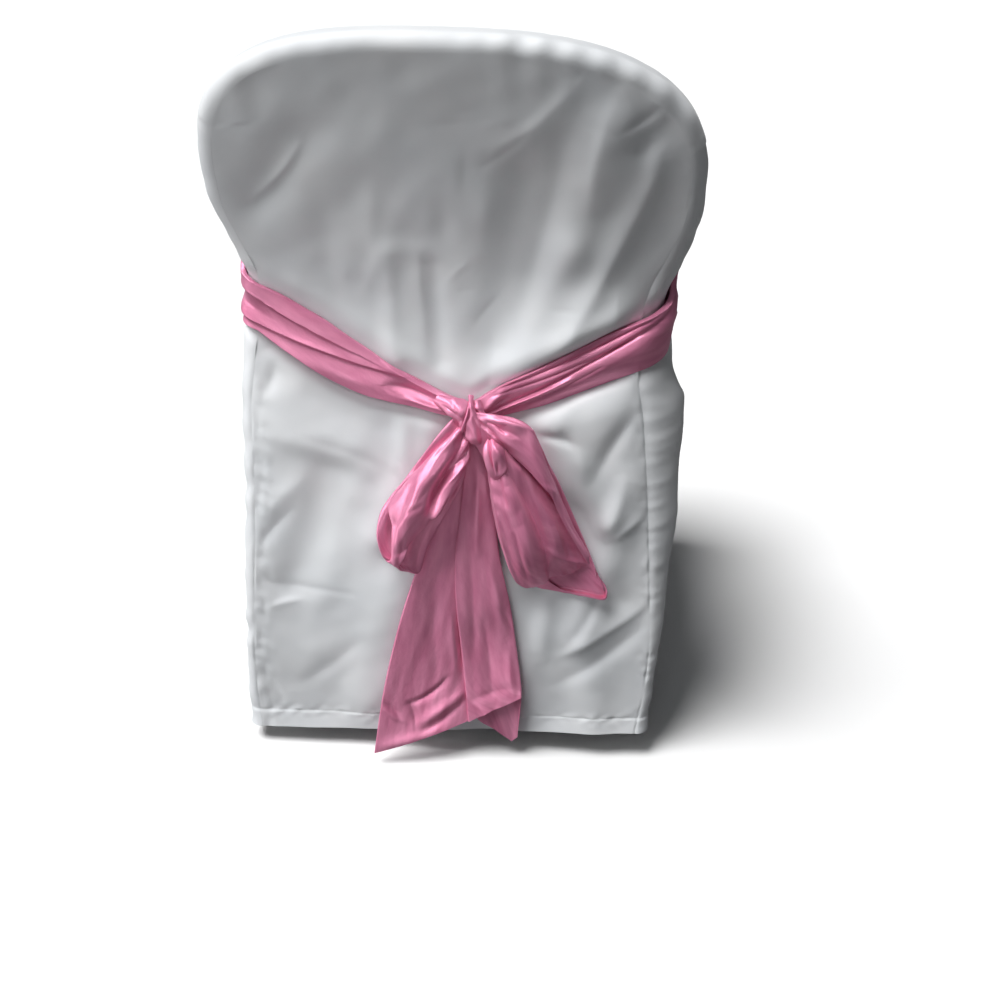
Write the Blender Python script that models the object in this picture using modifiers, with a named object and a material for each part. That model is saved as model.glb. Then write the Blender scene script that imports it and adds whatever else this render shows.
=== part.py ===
"""A fitted cover for a folding chair, with a satin sash tied in a bow behind it.

The frame: +X to the right of someone who looks at the chair's back, -Y towards them, +Z up.
The origin is the underside of the cover's top, halfway through its thickness, which is where
the chair holds the cover up. Every height in the tables below is measured from the floor.
"""
import math
from collections import namedtuple

import bmesh
import bpy
from mathutils import Vector

# ---------------------------------------------------------------- driving sizes, in metres
CHAIR_TOP = 0.770          # the chair's top rail, on which the cover hangs
SHOULDER = 0.630           # where the sides start to curve in towards the top
SEAT = 0.445               # top of the seat, under the cloth
HEM = 0.027                # lower edge of the cover, just clear of the floor
SEAT_FRONT = 0.440         # front edge of the seat
SKIRT_FRONT = 0.446        # front of the skirt at the hem
FRONT_HALF_WIDTH = 0.236   # the seat is wider in front than the back of the chair
LEFT_SHOULDER_POWER = 3.1  # each shoulder is a superellipse, and the left one is squarer
RIGHT_SHOULDER_POWER = 2.6
HEM_TILT = 0.030           # rise of the hem for each metre across: the cover hangs a little askew
HEM_TILT_TOP = 0.115       # the tilt is gone at this height
COVER_CLOTH = 0.0012       # thickness of the cover's cloth with its seams
SASH_CLOTH = 0.0010        # thickness of the satin
SEAT_EDGE_ROUNDING = 0.009 # how far the seat's front edge is taken back
SEAM_GAP = 0.0005          # between two panels along their seam
WEDGE = 0.688              # where the side panels start, at the seam with the inside back
WEDGE_SLANT = 0.018        # rise of that end across the depth of the chair's back

COLUMNS = 18               # cloth faces across a panel
COVER_COLOUR = (0.86, 0.87, 0.90, 1.0)
SASH_COLOUR = (0.52, 0.15, 0.30, 1.0)

# The chair's back and legs as they fill the cover: half widths to the left and right, the
# rear face, the depth of the back rest, and how far the rear corners are rounded.
Level = namedtuple("Level", "height left right rear depth left_round right_round")
LEVELS = (
    Level(0.027, 0.2160, 0.2205, -0.0300, 0.062, 0.009, 0.010),
    Level(0.080, 0.2210, 0.2270, -0.0245, 0.062, 0.009, 0.010),
    Level(0.150, 0.2200, 0.2310, -0.0180, 0.062, 0.009, 0.012),
    Level(0.300, 0.2135, 0.2350, 0.0000, 0.062, 0.010, 0.028),
    Level(0.395, 0.2130, 0.2340, 0.0140, 0.062, 0.010, 0.038),
    Level(0.445, 0.2110, 0.2210, 0.0235, 0.060, 0.012, 0.032),
    Level(0.490, 0.2085, 0.2160, 0.0320, 0.058, 0.013, 0.026),
    Level(0.530, 0.2085, 0.2200, 0.0330, 0.056, 0.014, 0.022),
    Level(0.570, 0.2215, 0.2325, 0.0280, 0.052, 0.014, 0.021),
    Level(0.600, 0.2300, 0.2365, 0.0220, 0.048, 0.014, 0.018),
    Level(0.630, 0.2340, 0.2365, 0.0150, 0.044, 0.015, 0.015),
    Level(0.670, 0.2345, 0.2365, 0.0045, 0.041, 0.015, 0.015),
    Level(0.720, 0.2345, 0.2365, -0.0070, 0.038, 0.015, 0.015),
    Level(0.770, 0.2345, 0.2365, -0.0180, 0.036, 0.015, 0.015),
)

# Soft folds of the outside back: a line from one end to the other, how far it stands out from
# the chair (negative is a valley), and its width to each side.
Fold = namedtuple("Fold", "x0 height0 x1 height1 out width")
FOLDS = (
    Fold(0.150, 0.690, 0.118, 0.575, 0.0060, 0.030),     # broad ridge, right shoulder
    Fold(0.118, 0.575, 0.062, 0.450, 0.0050, 0.022),     # its run down to the knot
    Fold(0.070, 0.640, 0.040, 0.470, -0.0055, 0.024),    # soft valley right of the middle
    Fold(-0.140, 0.670, -0.185, 0.605, -0.0045, 0.020),  # crease at the left shoulder
    Fold(-0.060, 0.560, -0.055, 0.455, 0.0040, 0.014),   # upright folds over the knot
    Fold(-0.020, 0.545, -0.012, 0.450, -0.0035, 0.012),
    Fold(0.175, 0.675, 0.200, 0.705, -0.0035, 0.012),    # short dent at the right shoulder
    Fold(0.105, 0.385, 0.165, 0.290, 0.0060, 0.018),     # folds that fan out under the sash
    Fold(0.070, 0.375, 0.090, 0.200, -0.0050, 0.022),
    Fold(0.196, 0.330, 0.140, 0.150, 0.0055, 0.020),
    Fold(-0.020, 0.385, -0.075, 0.260, 0.0045, 0.020),
    Fold(-0.120, 0.330, -0.165, 0.200, -0.0045, 0.022),
    Fold(-0.060, 0.200, -0.085, 0.060, 0.0045, 0.030),
    Fold(0.040, 0.150, 0.050, 0.030, -0.0040, 0.028),
    Fold(0.150, 0.160, 0.165, 0.030, 0.0040, 0.024),
)

# The sash behind the chair: lower and upper edge at places across it, left to right.
Band = namedtuple("Band", "x low high")
REAR_BAND = (
    Band(-0.214, 0.485, 0.537),
    Band(-0.150, 0.457, 0.497),
    Band(-0.070, 0.424, 0.452),
    Band(-0.010, 0.402, 0.420),
    Band(0.018, 0.395, 0.417),
    Band(0.050, 0.398, 0.427),
    Band(0.100, 0.413, 0.457),
    Band(0.158, 0.431, 0.495),
    Band(0.219, 0.459, 0.537),
)
FRONT_BAND = Band(0.0, 0.490, 0.556)   # and where it crosses the inside back
WAIST_GROOVE = 0.003       # how far the sash draws the cloth in
BAND_GAP = 0.0026          # clear space between cover and sash
BAND_SEAT = 0.0002         # the same where the sash lies flat against the inside back
BAND_PLEAT = 0.0018        # depth of the pleats along the band
KNOT_PLEAT = 0.0012        # how much deeper they are at the knot
BAND_ROWS = 6              # cloth faces across the band

# The loops and tails. Each row is one line across the ribbon: its first edge (x, height, and how
# far it stands out from the cover), its second edge, how far its middle swells out, and how
# deep its pleats are there.
Line = namedtuple("Line", "x0 height0 out0 x1 height1 out1 swell pleat")
LEFT_LOOP = (
    Line(0.010, 0.408, 0.020, 0.022, 0.382, 0.020, 0.000, 0.0015),
    Line(0.000, 0.396, 0.021, 0.021, 0.354, 0.021, 0.006, 0.0030),
    Line(-0.020, 0.371, 0.019, 0.022, 0.333, 0.024, 0.014, 0.0035),
    Line(-0.035, 0.350, 0.017, 0.015, 0.308, 0.026, 0.022, 0.0035),
    Line(-0.050, 0.325, 0.016, -0.004, 0.276, 0.027, 0.025, 0.0030),
    Line(-0.063, 0.307, 0.015, -0.030, 0.247, 0.024, 0.018, 0.0020),
    Line(-0.071, 0.297, 0.010, -0.050, 0.236, 0.015, 0.004, 0.0010),
    Line(-0.064, 0.301, 0.005, -0.040, 0.229, 0.009, -0.001, 0.0008),
    Line(-0.045, 0.328, 0.005, -0.016, 0.238, 0.012, 0.000, 0.0012),
    Line(-0.028, 0.354, 0.007, 0.008, 0.283, 0.015, 0.000, 0.0015),
    Line(-0.010, 0.378, 0.010, 0.019, 0.335, 0.016, 0.000, 0.0015),
    Line(0.008, 0.402, 0.014, 0.021, 0.380, 0.015, 0.000, 0.0010),
)
RIGHT_LOOP = (
    Line(0.026, 0.410, 0.022, 0.026, 0.378, 0.022, 0.000, 0.0015),
    Line(0.046, 0.409, 0.024, 0.040, 0.352, 0.023, 0.006, 0.0030),
    Line(0.066, 0.411, 0.026, 0.047, 0.310, 0.025, 0.012, 0.0040),
    Line(0.083, 0.401, 0.024, 0.056, 0.264, 0.027, 0.018, 0.0045),
    Line(0.093, 0.383, 0.020, 0.073, 0.234, 0.027, 0.019, 0.0045),
    Line(0.098, 0.372, 0.017, 0.097, 0.237, 0.024, 0.016, 0.0035),
    Line(0.102, 0.365, 0.014, 0.122, 0.246, 0.018, 0.011, 0.0025),
    Line(0.105, 0.360, 0.011, 0.147, 0.238, 0.013, 0.006, 0.0015),
    Line(0.107, 0.356, 0.008, 0.170, 0.207, 0.008, 0.002, 0.0008),
    Line(0.102, 0.359, 0.005, 0.158, 0.206, 0.004, -0.001, 0.0008),
    Line(0.092, 0.366, 0.006, 0.122, 0.210, 0.004, 0.000, 0.0012),
    Line(0.078, 0.377, 0.008, 0.078, 0.217, 0.009, 0.000, 0.0015),
    Line(0.060, 0.389, 0.011, 0.055, 0.276, 0.016, 0.000, 0.0015),
    Line(0.044, 0.398, 0.013, 0.042, 0.345, 0.017, 0.000, 0.0015),
    Line(0.027, 0.404, 0.015, 0.028, 0.382, 0.016, 0.000, 0.0010),
)
LEFT_TAIL = (
    Line(0.008, 0.388, 0.009, 0.027, 0.388, 0.009, 0.000, 0.0010),
    Line(0.001, 0.345, 0.005, 0.033, 0.345, 0.006, 0.001, 0.0020),
    Line(-0.013, 0.295, 0.004, 0.035, 0.297, 0.005, 0.000, 0.0020),
    Line(-0.029, 0.240, 0.004, 0.037, 0.244, 0.004, 0.000, 0.0020),
    Line(-0.045, 0.188, 0.005, 0.036, 0.194, 0.004, 0.000, 0.0020),
    Line(-0.058, 0.135, 0.005, 0.034, 0.142, 0.004, 0.001, 0.0020),
    Line(-0.068, 0.080, 0.011, 0.033, 0.096, 0.006, 0.001, 0.0020),
    Line(-0.077, 0.008, 0.018, 0.034, 0.050, 0.010, 0.002, 0.0020),
)
RIGHT_TAIL = (
    Line(0.012, 0.386, 0.013, 0.032, 0.386, 0.013, 0.000, 0.0010),
    Line(0.010, 0.340, 0.012, 0.043, 0.345, 0.012, 0.001, 0.0020),
    Line(0.009, 0.290, 0.011, 0.049, 0.295, 0.010, 0.002, 0.0025),
    Line(0.010, 0.240, 0.010, 0.055, 0.244, 0.009, 0.002, 0.0025),
    Line(0.012, 0.190, 0.010, 0.069, 0.193, 0.009, 0.002, 0.0030),
    Line(0.017, 0.135, 0.010, 0.078, 0.138, 0.009, 0.002, 0.0030),
    Line(0.022, 0.085, 0.013, 0.083, 0.082, 0.013, 0.002, 0.0030),
    Line(0.028, 0.050, 0.016, 0.086, 0.012, 0.018, 0.002, 0.0025),
)
Numbered = namedtuple("Numbered", "number value")

# Pleats across the ribbon: where each rounded fold lies, as a share of the width, and its size.
Pleat = namedtuple("Pleat", "share size")
PLEATS = (Pleat(0.10, 1.0), Pleat(0.31, 0.7), Pleat(0.52, 0.9), Pleat(0.72, 0.6), Pleat(0.92, 1.0))
PLEAT_WIDTH = 0.07

# The knot: a lump of wrapped satin where the band, the loops and the tails meet.
KNOT_X = 0.019
KNOT_HEIGHT = 0.402
KNOT_OUT = 0.0160
KNOT_SIZE = (0.017, 0.0155, 0.029)     # half sizes: across, out from the cover, up
KNOT_LEAN = math.radians(8)

# ---------------------------------------------------------------- the chair's form


def smooth_value(rows, key, field, value):
    """A field of a table at any value of its key, on a smooth curve through the rows."""
    keys = [getattr(row, key) for row in rows]
    fields = [getattr(row, field) for row in rows]
    value = min(max(value, keys[0]), keys[-1])
    i = max(k for k in range(len(keys) - 1) if keys[k] <= value)

    def slope(k):
        low, high = max(k - 1, 0), min(k + 1, len(keys) - 1)
        return (fields[high] - fields[low]) / (keys[high] - keys[low])

    span = keys[i + 1] - keys[i]
    t = (value - keys[i]) / span
    start = (1 + 2 * t) * (1 - t) ** 2 * fields[i] + t * (1 - t) ** 2 * span * slope(i)
    end = t * t * (3 - 2 * t) * fields[i + 1] + t * t * (t - 1) * span * slope(i + 1)
    return start + end


def level(field, height):
    return smooth_value(LEVELS, "height", field, height)


def fold_depth(x, height):
    """How far the outside back stands out at a place, from all its folds."""
    total = 0.0
    for fold in FOLDS:
        along = Vector((fold.x1 - fold.x0, fold.height1 - fold.height0))
        reach = Vector((x - fold.x0, height - fold.height0))
        share = min(max(reach.dot(along) / along.length_squared, 0.0), 1.0)
        distance = (reach - along * share).length
        total += fold.out * math.exp(-(distance / fold.width) ** 2)
    return total


def band_middle(x):
    """Lower and upper edge of the sash behind the chair."""
    return smooth_value(REAR_BAND, "x", "low", x), smooth_value(REAR_BAND, "x", "high", x)


def groove(low, high, height):
    """How far the sash draws the cloth in at a height."""
    half = (high - low) / 2 + 0.010
    return WAIST_GROOVE * math.exp(-((height - (low + high) / 2) / half) ** 4)


def rounding(side, height):
    """Radius of a rear corner, which goes on over the shoulders and the top."""
    return level("left_round" if side < 0 else "right_round", min(height, SHOULDER))


def flat_half(side, height):
    """Half width of the outside back, up to where its corner starts to round."""
    return level("left" if side < 0 else "right", height) - rounding(side, height)


def flare(side, height, share):
    """Half width at a share of the way from the outside back to the front of the skirt."""
    rear = level("left" if side < 0 else "right", height)
    below_seat = min(max((SEAT + 0.04 - height) / 0.04, 0.0), 1.0)
    return rear + (FRONT_HALF_WIDTH - rear) * share * below_seat


# The cover's net. A point has an a across it, from -1 to 1; a b from the outside back (0), round
# its corner (0.2) to the side or top (0.4), past the inside back (1), to the front of the seat
# (2); and a c up it, which is the height up to the shoulders.
MID_ROUND = 0.2
END_ROUND = 0.4


def place(a, b, c, grooved=True):
    """A point of the net on the chair, in the part's frame."""
    side = -1 if a < 0 else 1
    power = LEFT_SHOULDER_POWER if side < 0 else RIGHT_SHOULDER_POWER
    if c > SHOULDER:
        c += WEDGE_SLANT * min(b, 1.0) * max(0.0, 1 - abs(c - WEDGE) / 0.05)
    rise = max((c - SHOULDER) / (CHAIR_TOP - SHOULDER), 0.0)
    turn = math.pi / 2 * min(b / END_ROUND, 1.0)
    radius = rounding(side, c)
    inset = radius * (1 - math.sin(turn))
    height = c
    if rise:
        lower = (1 - abs(a) ** power / 2) ** (1 / power)
        height = SHOULDER + (CHAIR_TOP - inset - SHOULDER) * rise * lower

    rear = level("rear", height)
    inside_back = rear + level("depth", height)
    front = SEAT_FRONT + (SKIRT_FRONT - SEAT_FRONT) * (SEAT - height) / (SEAT - HEM)
    if b <= END_ROUND:
        y = rear + radius * (1 - math.cos(turn))
    elif b <= 1:
        y = rear + radius + (inside_back - rear - radius) * (b - END_ROUND) / (1 - END_ROUND)
    else:
        y = inside_back + (front - inside_back) * (b - 1)
    narrow = (1 - rise ** power / 2) ** (1 / power)
    x = a * (flare(side, height, (y - rear) / (front - rear)) - inset) * narrow
    if c < HEM_TILT_TOP:
        height += HEM_TILT * x * (HEM_TILT_TOP - c) / (HEM_TILT_TOP - HEM)

    settled = 1 - abs(a) ** 12
    if b == 0:
        y -= fold_depth(x, height) * settled * (1 - rise ** 12)
        if grooved:
            y += groove(*band_middle(x), height) * settled
    if b == 1 and grooved and c < SHOULDER:
        y -= groove(FRONT_BAND.low, FRONT_BAND.high, height) * settled
    if b == 2 and c == SEAT:
        y -= SEAT_EDGE_ROUNDING
        height -= SEAT_EDGE_ROUNDING
    return Vector((x, y, height - CHAIR_TOP))


def rear_face(x, height):
    """The outer face of the cover's outside back, ungrooved, at a place under the sash."""
    side = -1 if x < 0 else 1
    return place(x / flat_half(side, height), 0, height, grooved=False).y - COVER_CLOTH


# ---------------------------------------------------------------- modelling helpers


def empty_scene():
    for old in list(bpy.data.objects):
        bpy.data.objects.remove(old)


def new_collection(name):
    collection = bpy.data.collections.new(name)
    bpy.context.scene.collection.children.link(collection)
    return collection


def cloth_material(name, colour, roughness, sheen):
    material = bpy.data.materials.new(name)
    material.use_nodes = True
    shader = material.node_tree.nodes["Principled BSDF"]
    shader.inputs["Base Color"].default_value = colour
    shader.inputs["Roughness"].default_value = roughness
    shader.inputs["Sheen Weight"].default_value = sheen
    return material


def add_object(name, bm, collection, material):
    mesh = bpy.data.meshes.new(name)
    bm.to_mesh(mesh)
    bm.free()
    mesh.materials.append(material)
    mesh.shade_smooth()
    mesh.set_sharp_from_angle(angle=math.radians(50))
    thing = bpy.data.objects.new(name, mesh)
    collection.objects.link(thing)
    return thing


def flat_net(columns, rows, keep=lambda column, row: True):
    """A flat grid with a vertex for each column and row, without the cells that aren't kept.

    Each vertex's x and y are its column and row numbers.
    """
    bm = bmesh.new()
    across, up = len(columns) - 1, len(rows) - 1
    bmesh.ops.create_grid(bm, x_segments=across, y_segments=up, size=0.5)
    for vert in bm.verts:
        vert.co.x = round((vert.co.x + 0.5) * across)
        vert.co.y = round((vert.co.y + 0.5) * up)
    dropped = [face for face in bm.faces
               if not keep(math.floor(face.calc_center_median().x), math.floor(face.calc_center_median().y))]
    bmesh.ops.delete(bm, geom=dropped, context="FACES")
    return bm


def face_outwards(bm, inside):
    """Turns the faces so that their normals point away from a point inside the cover."""
    bmesh.ops.remove_doubles(bm, verts=bm.verts, dist=1e-5)
    bmesh.ops.recalc_face_normals(bm, faces=bm.faces)
    away = sum((face.calc_center_median() - inside).dot(face.normal) * face.calc_area() for face in bm.faces)
    if away < 0:
        bmesh.ops.reverse_faces(bm, faces=bm.faces)


def draw_in(bm, distance):
    """Moves every edge vertex into its cloth by a distance, for the gap along the seams."""
    moves = {}
    for vert in bm.verts:
        edges = [edge for edge in vert.link_edges if edge.is_boundary]
        if not edges:
            continue
        tangent = sum(((edge.other_vert(vert).co - vert.co) * (1 if k else -1)
                       for k, edge in enumerate(edges)), Vector())
        middle = sum((face.calc_center_median() for face in vert.link_faces), Vector())
        inward = middle / len(vert.link_faces) - vert.co
        if len(vert.link_faces) > 1:
            inward -= inward.project(tangent)
            moves[vert] = inward.normalized() * distance
        else:
            moves[vert] = inward.normalized() * distance * math.sqrt(2)
    for vert, move in moves.items():
        vert.co += move


def thicken(thing, thickness, offset):
    shell = thing.modifiers.new("Cloth", "SOLIDIFY")
    shell.thickness = thickness
    shell.offset = offset
    shell.use_even_offset = True
    shell.use_quality_normals = True


# ---------------------------------------------------------------- the cover's panels

ACROSS = [2 * k / COLUMNS - 1 for k in range(COLUMNS + 1)]
BACK_ROWS = (HEM, 0.050, 0.080, 0.115, 0.150, 0.185, 0.220, 0.255, 0.290, 0.320, 0.348, 0.374, 0.398,
             0.420, SEAT, 0.468, 0.490, 0.510, 0.530, 0.550, 0.572, 0.600, SHOULDER, 0.659, WEDGE, 0.717,
             0.745, CHAIR_TOP)
SKIRT_ROWS = (HEM, HEM_TILT_TOP, 0.220, 0.320, 0.415, SEAT)
SEAT_LINES = (1.0, 1.16, 1.36, 1.56, 1.76, 1.92, 2.0)
INSIDE = Vector((0.0, 0.02, 0.55 - CHAIR_TOP))


def back_panel(collection, material):
    """The outside back with its flaps over the top and the shoulders, its corners cut and sewn."""
    round_lines = (MID_ROUND, END_ROUND, 1)
    columns = [(-1, b) for b in reversed(round_lines)] + [(a, 0) for a in ACROSS] + [(1, b) for b in round_lines]
    rows = [(0, c) for c in BACK_ROWS] + [(b, CHAIR_TOP) for b in round_lines]
    wedge_row = BACK_ROWS.index(WEDGE)
    top_row = len(BACK_ROWS) - 1
    last = len(columns) - 1 - len(round_lines)

    def keep(column, row):
        beside = column < len(round_lines) or column >= last
        return not beside or wedge_row <= row < top_row

    bm = flat_net(columns, rows, keep)
    for vert in bm.verts:
        (a, beside), (above, c) = columns[int(vert.co.x)], rows[int(vert.co.y)]
        vert.co = place(a, max(beside, above), c)
    face_outwards(bm, INSIDE)
    draw_in(bm, SEAM_GAP / 2)
    panel = add_object("back_panel", bm, collection, material)
    thicken(panel, COVER_CLOTH, 1.0)


def front_panel(collection, material):
    """The inside back, the seat and the front of the skirt, in one length."""
    columns = ACROSS
    rows = [(2, c) for c in SKIRT_ROWS[:-1]] + [(b, SEAT) for b in reversed(SEAT_LINES)]
    rows += [(1, c) for c in BACK_ROWS if c > SEAT]
    bm = flat_net(columns, rows)
    for vert in bm.verts:
        a, (b, c) = columns[int(vert.co.x)], rows[int(vert.co.y)]
        vert.co = place(a, b, c)
    bmesh.ops.recalc_face_normals(bm, faces=bm.faces)
    top = max(bm.faces, key=lambda face: face.calc_center_median().z)
    if top.normal.y < 0:
        bmesh.ops.reverse_faces(bm, faces=bm.faces)
    draw_in(bm, SEAM_GAP / 2)
    panel = add_object("front_panel", bm, collection, material)
    thicken(panel, COVER_CLOTH, 1.0)


def side_panel(name, side, collection, material):
    """The gusset of one side: a wedge beside the back of the chair, then the depth of the seat."""
    columns = [(1, b) for b in (0, MID_ROUND, END_ROUND) + SEAT_LINES]
    rows = [c for c in BACK_ROWS if c <= WEDGE]
    seat_row = rows.index(SEAT)

    def keep(column, row):
        return column < 3 or row < seat_row

    bm = flat_net(columns, rows, keep)
    for vert in bm.verts:
        (a, b), c = columns[int(vert.co.x)], rows[int(vert.co.y)]
        vert.co = place(side * a, b, c)
    bmesh.ops.recalc_face_normals(bm, faces=bm.faces)
    if sum(face.normal.x * face.calc_area() for face in bm.faces) * side < 0:
        bmesh.ops.reverse_faces(bm, faces=bm.faces)
    draw_in(bm, SEAM_GAP / 2)
    panel = add_object(name, bm, collection, material)
    thicken(panel, COVER_CLOTH, 1.0)


# ---------------------------------------------------------------- the sash


def pleats(share):
    """The height of the pleats at a share of the ribbon's width, for pleats one unit deep."""
    return sum(pleat.size * math.exp(-((share - pleat.share) / PLEAT_WIDTH) ** 2) for pleat in PLEATS)


def line_at(lines, along):
    """The line of a ribbon at a place along it, on smooth curves through the table's lines."""
    fields = []
    for field in Line._fields:
        rows = [Numbered(k, getattr(line, field)) for k, line in enumerate(lines)]
        fields.append(smooth_value(rows, "number", "value", along))
    return Line(*fields)


def ribbon(name, lines, across, steps, collection, material):
    """A strip of satin through its lines, with pleats along it."""
    columns = range(across + 1)
    rows = [k / steps for k in range((len(lines) - 1) * steps + 1)]
    bm = flat_net(columns, rows)
    for vert in bm.verts:
        share, along = vert.co.x / across, rows[int(vert.co.y)]
        line = line_at(lines, along)
        x = line.x0 + (line.x1 - line.x0) * share
        height = line.height0 + (line.height1 - line.height0) * share
        out = line.out0 + (line.out1 - line.out0) * share
        out += line.swell * 4 * share * (1 - share) + line.pleat * pleats(share)
        vert.co = Vector((x, rear_face(x, max(height, HEM)) - out, height - CHAIR_TOP))
    strip = add_object(name, bm, collection, material)
    thicken(strip, SASH_CLOTH, 0.0)
    return strip


def band_station(a, b):
    """Lower and upper edge of the band at a place round the waist, and the way it faces."""
    low, high = band_middle(place(a, 0, SEAT + 0.05).x)
    low += (FRONT_BAND.low - low) * b
    high += (FRONT_BAND.high - high) * b
    turn = math.pi / 2 * min(b / END_ROUND, 1.0)
    facing = Vector((a * math.sin(turn), -math.cos(turn), 0))
    if b == 1:
        facing = Vector((0, 1, 0)) if abs(a) < 1 else Vector((a, 1, 0))
    return low, high, facing


def band(collection, material):
    """The sash round the waist, from the knot to the left, round the chair and back to the knot."""
    knot = KNOT_X / flat_half(1, KNOT_HEIGHT)
    inside = [(a, 1) for a in ACROSS[1:-1:2]]
    side_lines = (MID_ROUND, END_ROUND, 0.7, 1)
    left_side = [(-1, b) for b in side_lines]
    right_side = [(1, b) for b in reversed(side_lines)]
    stations = [(knot, 0)] + [(a, 0) for a in reversed(ACROSS) if a < knot - 0.03] + left_side + inside
    stations += right_side + [(a, 0) for a in reversed(ACROSS) if a > knot + 0.03] + [(knot, 0)]
    rows = range(BAND_ROWS + 1)
    bm = flat_net(stations, rows)
    for vert in bm.verts:
        a, b = stations[int(vert.co.x)]
        share = vert.co.y / BAND_ROWS
        low, high, facing = band_station(a, b)
        near_knot = math.exp(-((a - knot) / 0.35) ** 2) if b == 0 else 0
        gap = BAND_SEAT if b == 1 and abs(a) < 1 else BAND_GAP
        out = COVER_CLOTH + gap + SASH_CLOTH / 2 + (BAND_PLEAT + KNOT_PLEAT * near_knot) * pleats(share)
        vert.co = place(a, b, low + (high - low) * share) + facing * out
    bmesh.ops.remove_doubles(bm, verts=bm.verts, dist=1e-5)
    strip = add_object("sash", bm, collection, material)
    thicken(strip, SASH_CLOTH, 0.0)
    return strip


def knot(collection, material):
    """The wrapped lump of the knot, taller than wide, with the pleats of the satin round it."""
    bm = bmesh.new()
    bmesh.ops.create_uvsphere(bm, u_segments=14, v_segments=9, radius=1)
    for vert in bm.verts:
        ripple = 1 + 0.06 * math.cos(5 * math.atan2(vert.co.z, vert.co.x))
        vert.co.x *= KNOT_SIZE[0] * ripple
        vert.co.y *= KNOT_SIZE[1]
        vert.co.z *= KNOT_SIZE[2] * ripple
    lump = add_object("knot", bm, collection, material)
    depth = rear_face(KNOT_X, KNOT_HEIGHT) - KNOT_OUT
    lump.location = (KNOT_X, depth, KNOT_HEIGHT - CHAIR_TOP)
    lump.rotation_euler.y = KNOT_LEAN
    return lump


def sash(collection, pieces, material):
    """The whole sash as one solid: band, knot, two loops and two tails."""
    whole = band(collection, material)
    lengths = (
        knot(pieces, material),
        ribbon("left_loop", LEFT_LOOP, 10, 2, pieces, material),
        ribbon("right_loop", RIGHT_LOOP, 10, 2, pieces, material),
        ribbon("left_tail", LEFT_TAIL, 8, 1, pieces, material),
        ribbon("right_tail", RIGHT_TAIL, 8, 1, pieces, material),
    )
    for length in lengths:
        length.hide_render = True
        length.display_type = "WIRE"
        union = whole.modifiers.new("With " + length.name, "BOOLEAN")
        union.operation = "UNION"
        union.solver = "EXACT"
        union.use_self = True
        union.object = length


def main():
    empty_scene()
    collection = new_collection("chair_cover_with_sash")
    pieces = new_collection("sash_lengths")
    white = cloth_material("white polyester", COVER_COLOUR, 0.75, 0.3)
    pink = cloth_material("pink satin", SASH_COLOUR, 0.35, 0.2)
    back_panel(collection, white)
    front_panel(collection, white)
    side_panel("side_panel_left", -1, collection, white)
    side_panel("side_panel_right", 1, collection, white)
    sash(collection, pieces, pink)


main()
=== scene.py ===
# %% [markdown]
# # A folding chair's cloth cover, with a satin sash tied in a bow
#
# The cover is white polyester: an outside back, an inside back that goes on as the seat and the
# front of the skirt, and a gusset down each side. A pink satin sash runs round its waist and is
# tied behind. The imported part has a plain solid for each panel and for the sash. This lesson lays
# thin cloth in their places, with its folds, seams and hems, one piece of cloth at a time.

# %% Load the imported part
import math
from collections import namedtuple

import bmesh
import bpy
import numpy as np
from mathutils import Matrix, Vector


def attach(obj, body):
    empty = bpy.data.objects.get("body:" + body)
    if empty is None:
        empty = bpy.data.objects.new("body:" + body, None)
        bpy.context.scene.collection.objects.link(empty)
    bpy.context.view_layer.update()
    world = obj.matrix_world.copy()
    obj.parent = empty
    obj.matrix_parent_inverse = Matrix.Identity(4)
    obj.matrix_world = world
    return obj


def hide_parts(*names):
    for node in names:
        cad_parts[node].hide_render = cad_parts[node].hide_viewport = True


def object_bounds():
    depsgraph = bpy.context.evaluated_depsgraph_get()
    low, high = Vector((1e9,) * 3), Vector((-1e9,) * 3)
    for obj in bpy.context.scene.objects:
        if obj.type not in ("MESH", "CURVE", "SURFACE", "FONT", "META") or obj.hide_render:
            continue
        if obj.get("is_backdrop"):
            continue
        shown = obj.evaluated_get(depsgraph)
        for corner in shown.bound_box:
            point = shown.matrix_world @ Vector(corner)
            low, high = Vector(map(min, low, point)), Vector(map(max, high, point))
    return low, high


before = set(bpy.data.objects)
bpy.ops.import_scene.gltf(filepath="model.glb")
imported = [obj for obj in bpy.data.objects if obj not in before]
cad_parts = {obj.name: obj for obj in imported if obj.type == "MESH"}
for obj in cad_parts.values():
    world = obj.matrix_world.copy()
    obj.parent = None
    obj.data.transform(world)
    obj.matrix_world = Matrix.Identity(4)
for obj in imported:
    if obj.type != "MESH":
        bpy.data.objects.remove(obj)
bpy.context.view_layer.update()
part_box = [list(corner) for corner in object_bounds()]
bpy.ops.object.select_all(action="DESELECT")
print("the part's box:", [[round(value, 3) for value in corner] for corner in part_box])

# %% [markdown]
# ## The shape that the cloth is drawn over
#
# The cloth hangs on a chair that isn't shown, so its shape is stated as tables: the chair's half
# widths, rear face and depth at a few heights above the floor. A smooth curve through a table
# gives every height between.

# %% The chair's form as a table
CHAIR_TOP, SHOULDER, SEAT, HEM = 0.770, 0.630, 0.445, 0.027
SEAT_FRONT, SKIRT_FRONT, FRONT_HALF_WIDTH = 0.440, 0.446, 0.236
LEFT_SHOULDER_POWER, RIGHT_SHOULDER_POWER = 3.1, 2.6
HEM_TILT, HEM_TILT_TOP = 0.030, 0.115
WEDGE, WEDGE_SLANT = 0.688, 0.018
END_ROUND = 0.4

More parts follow.
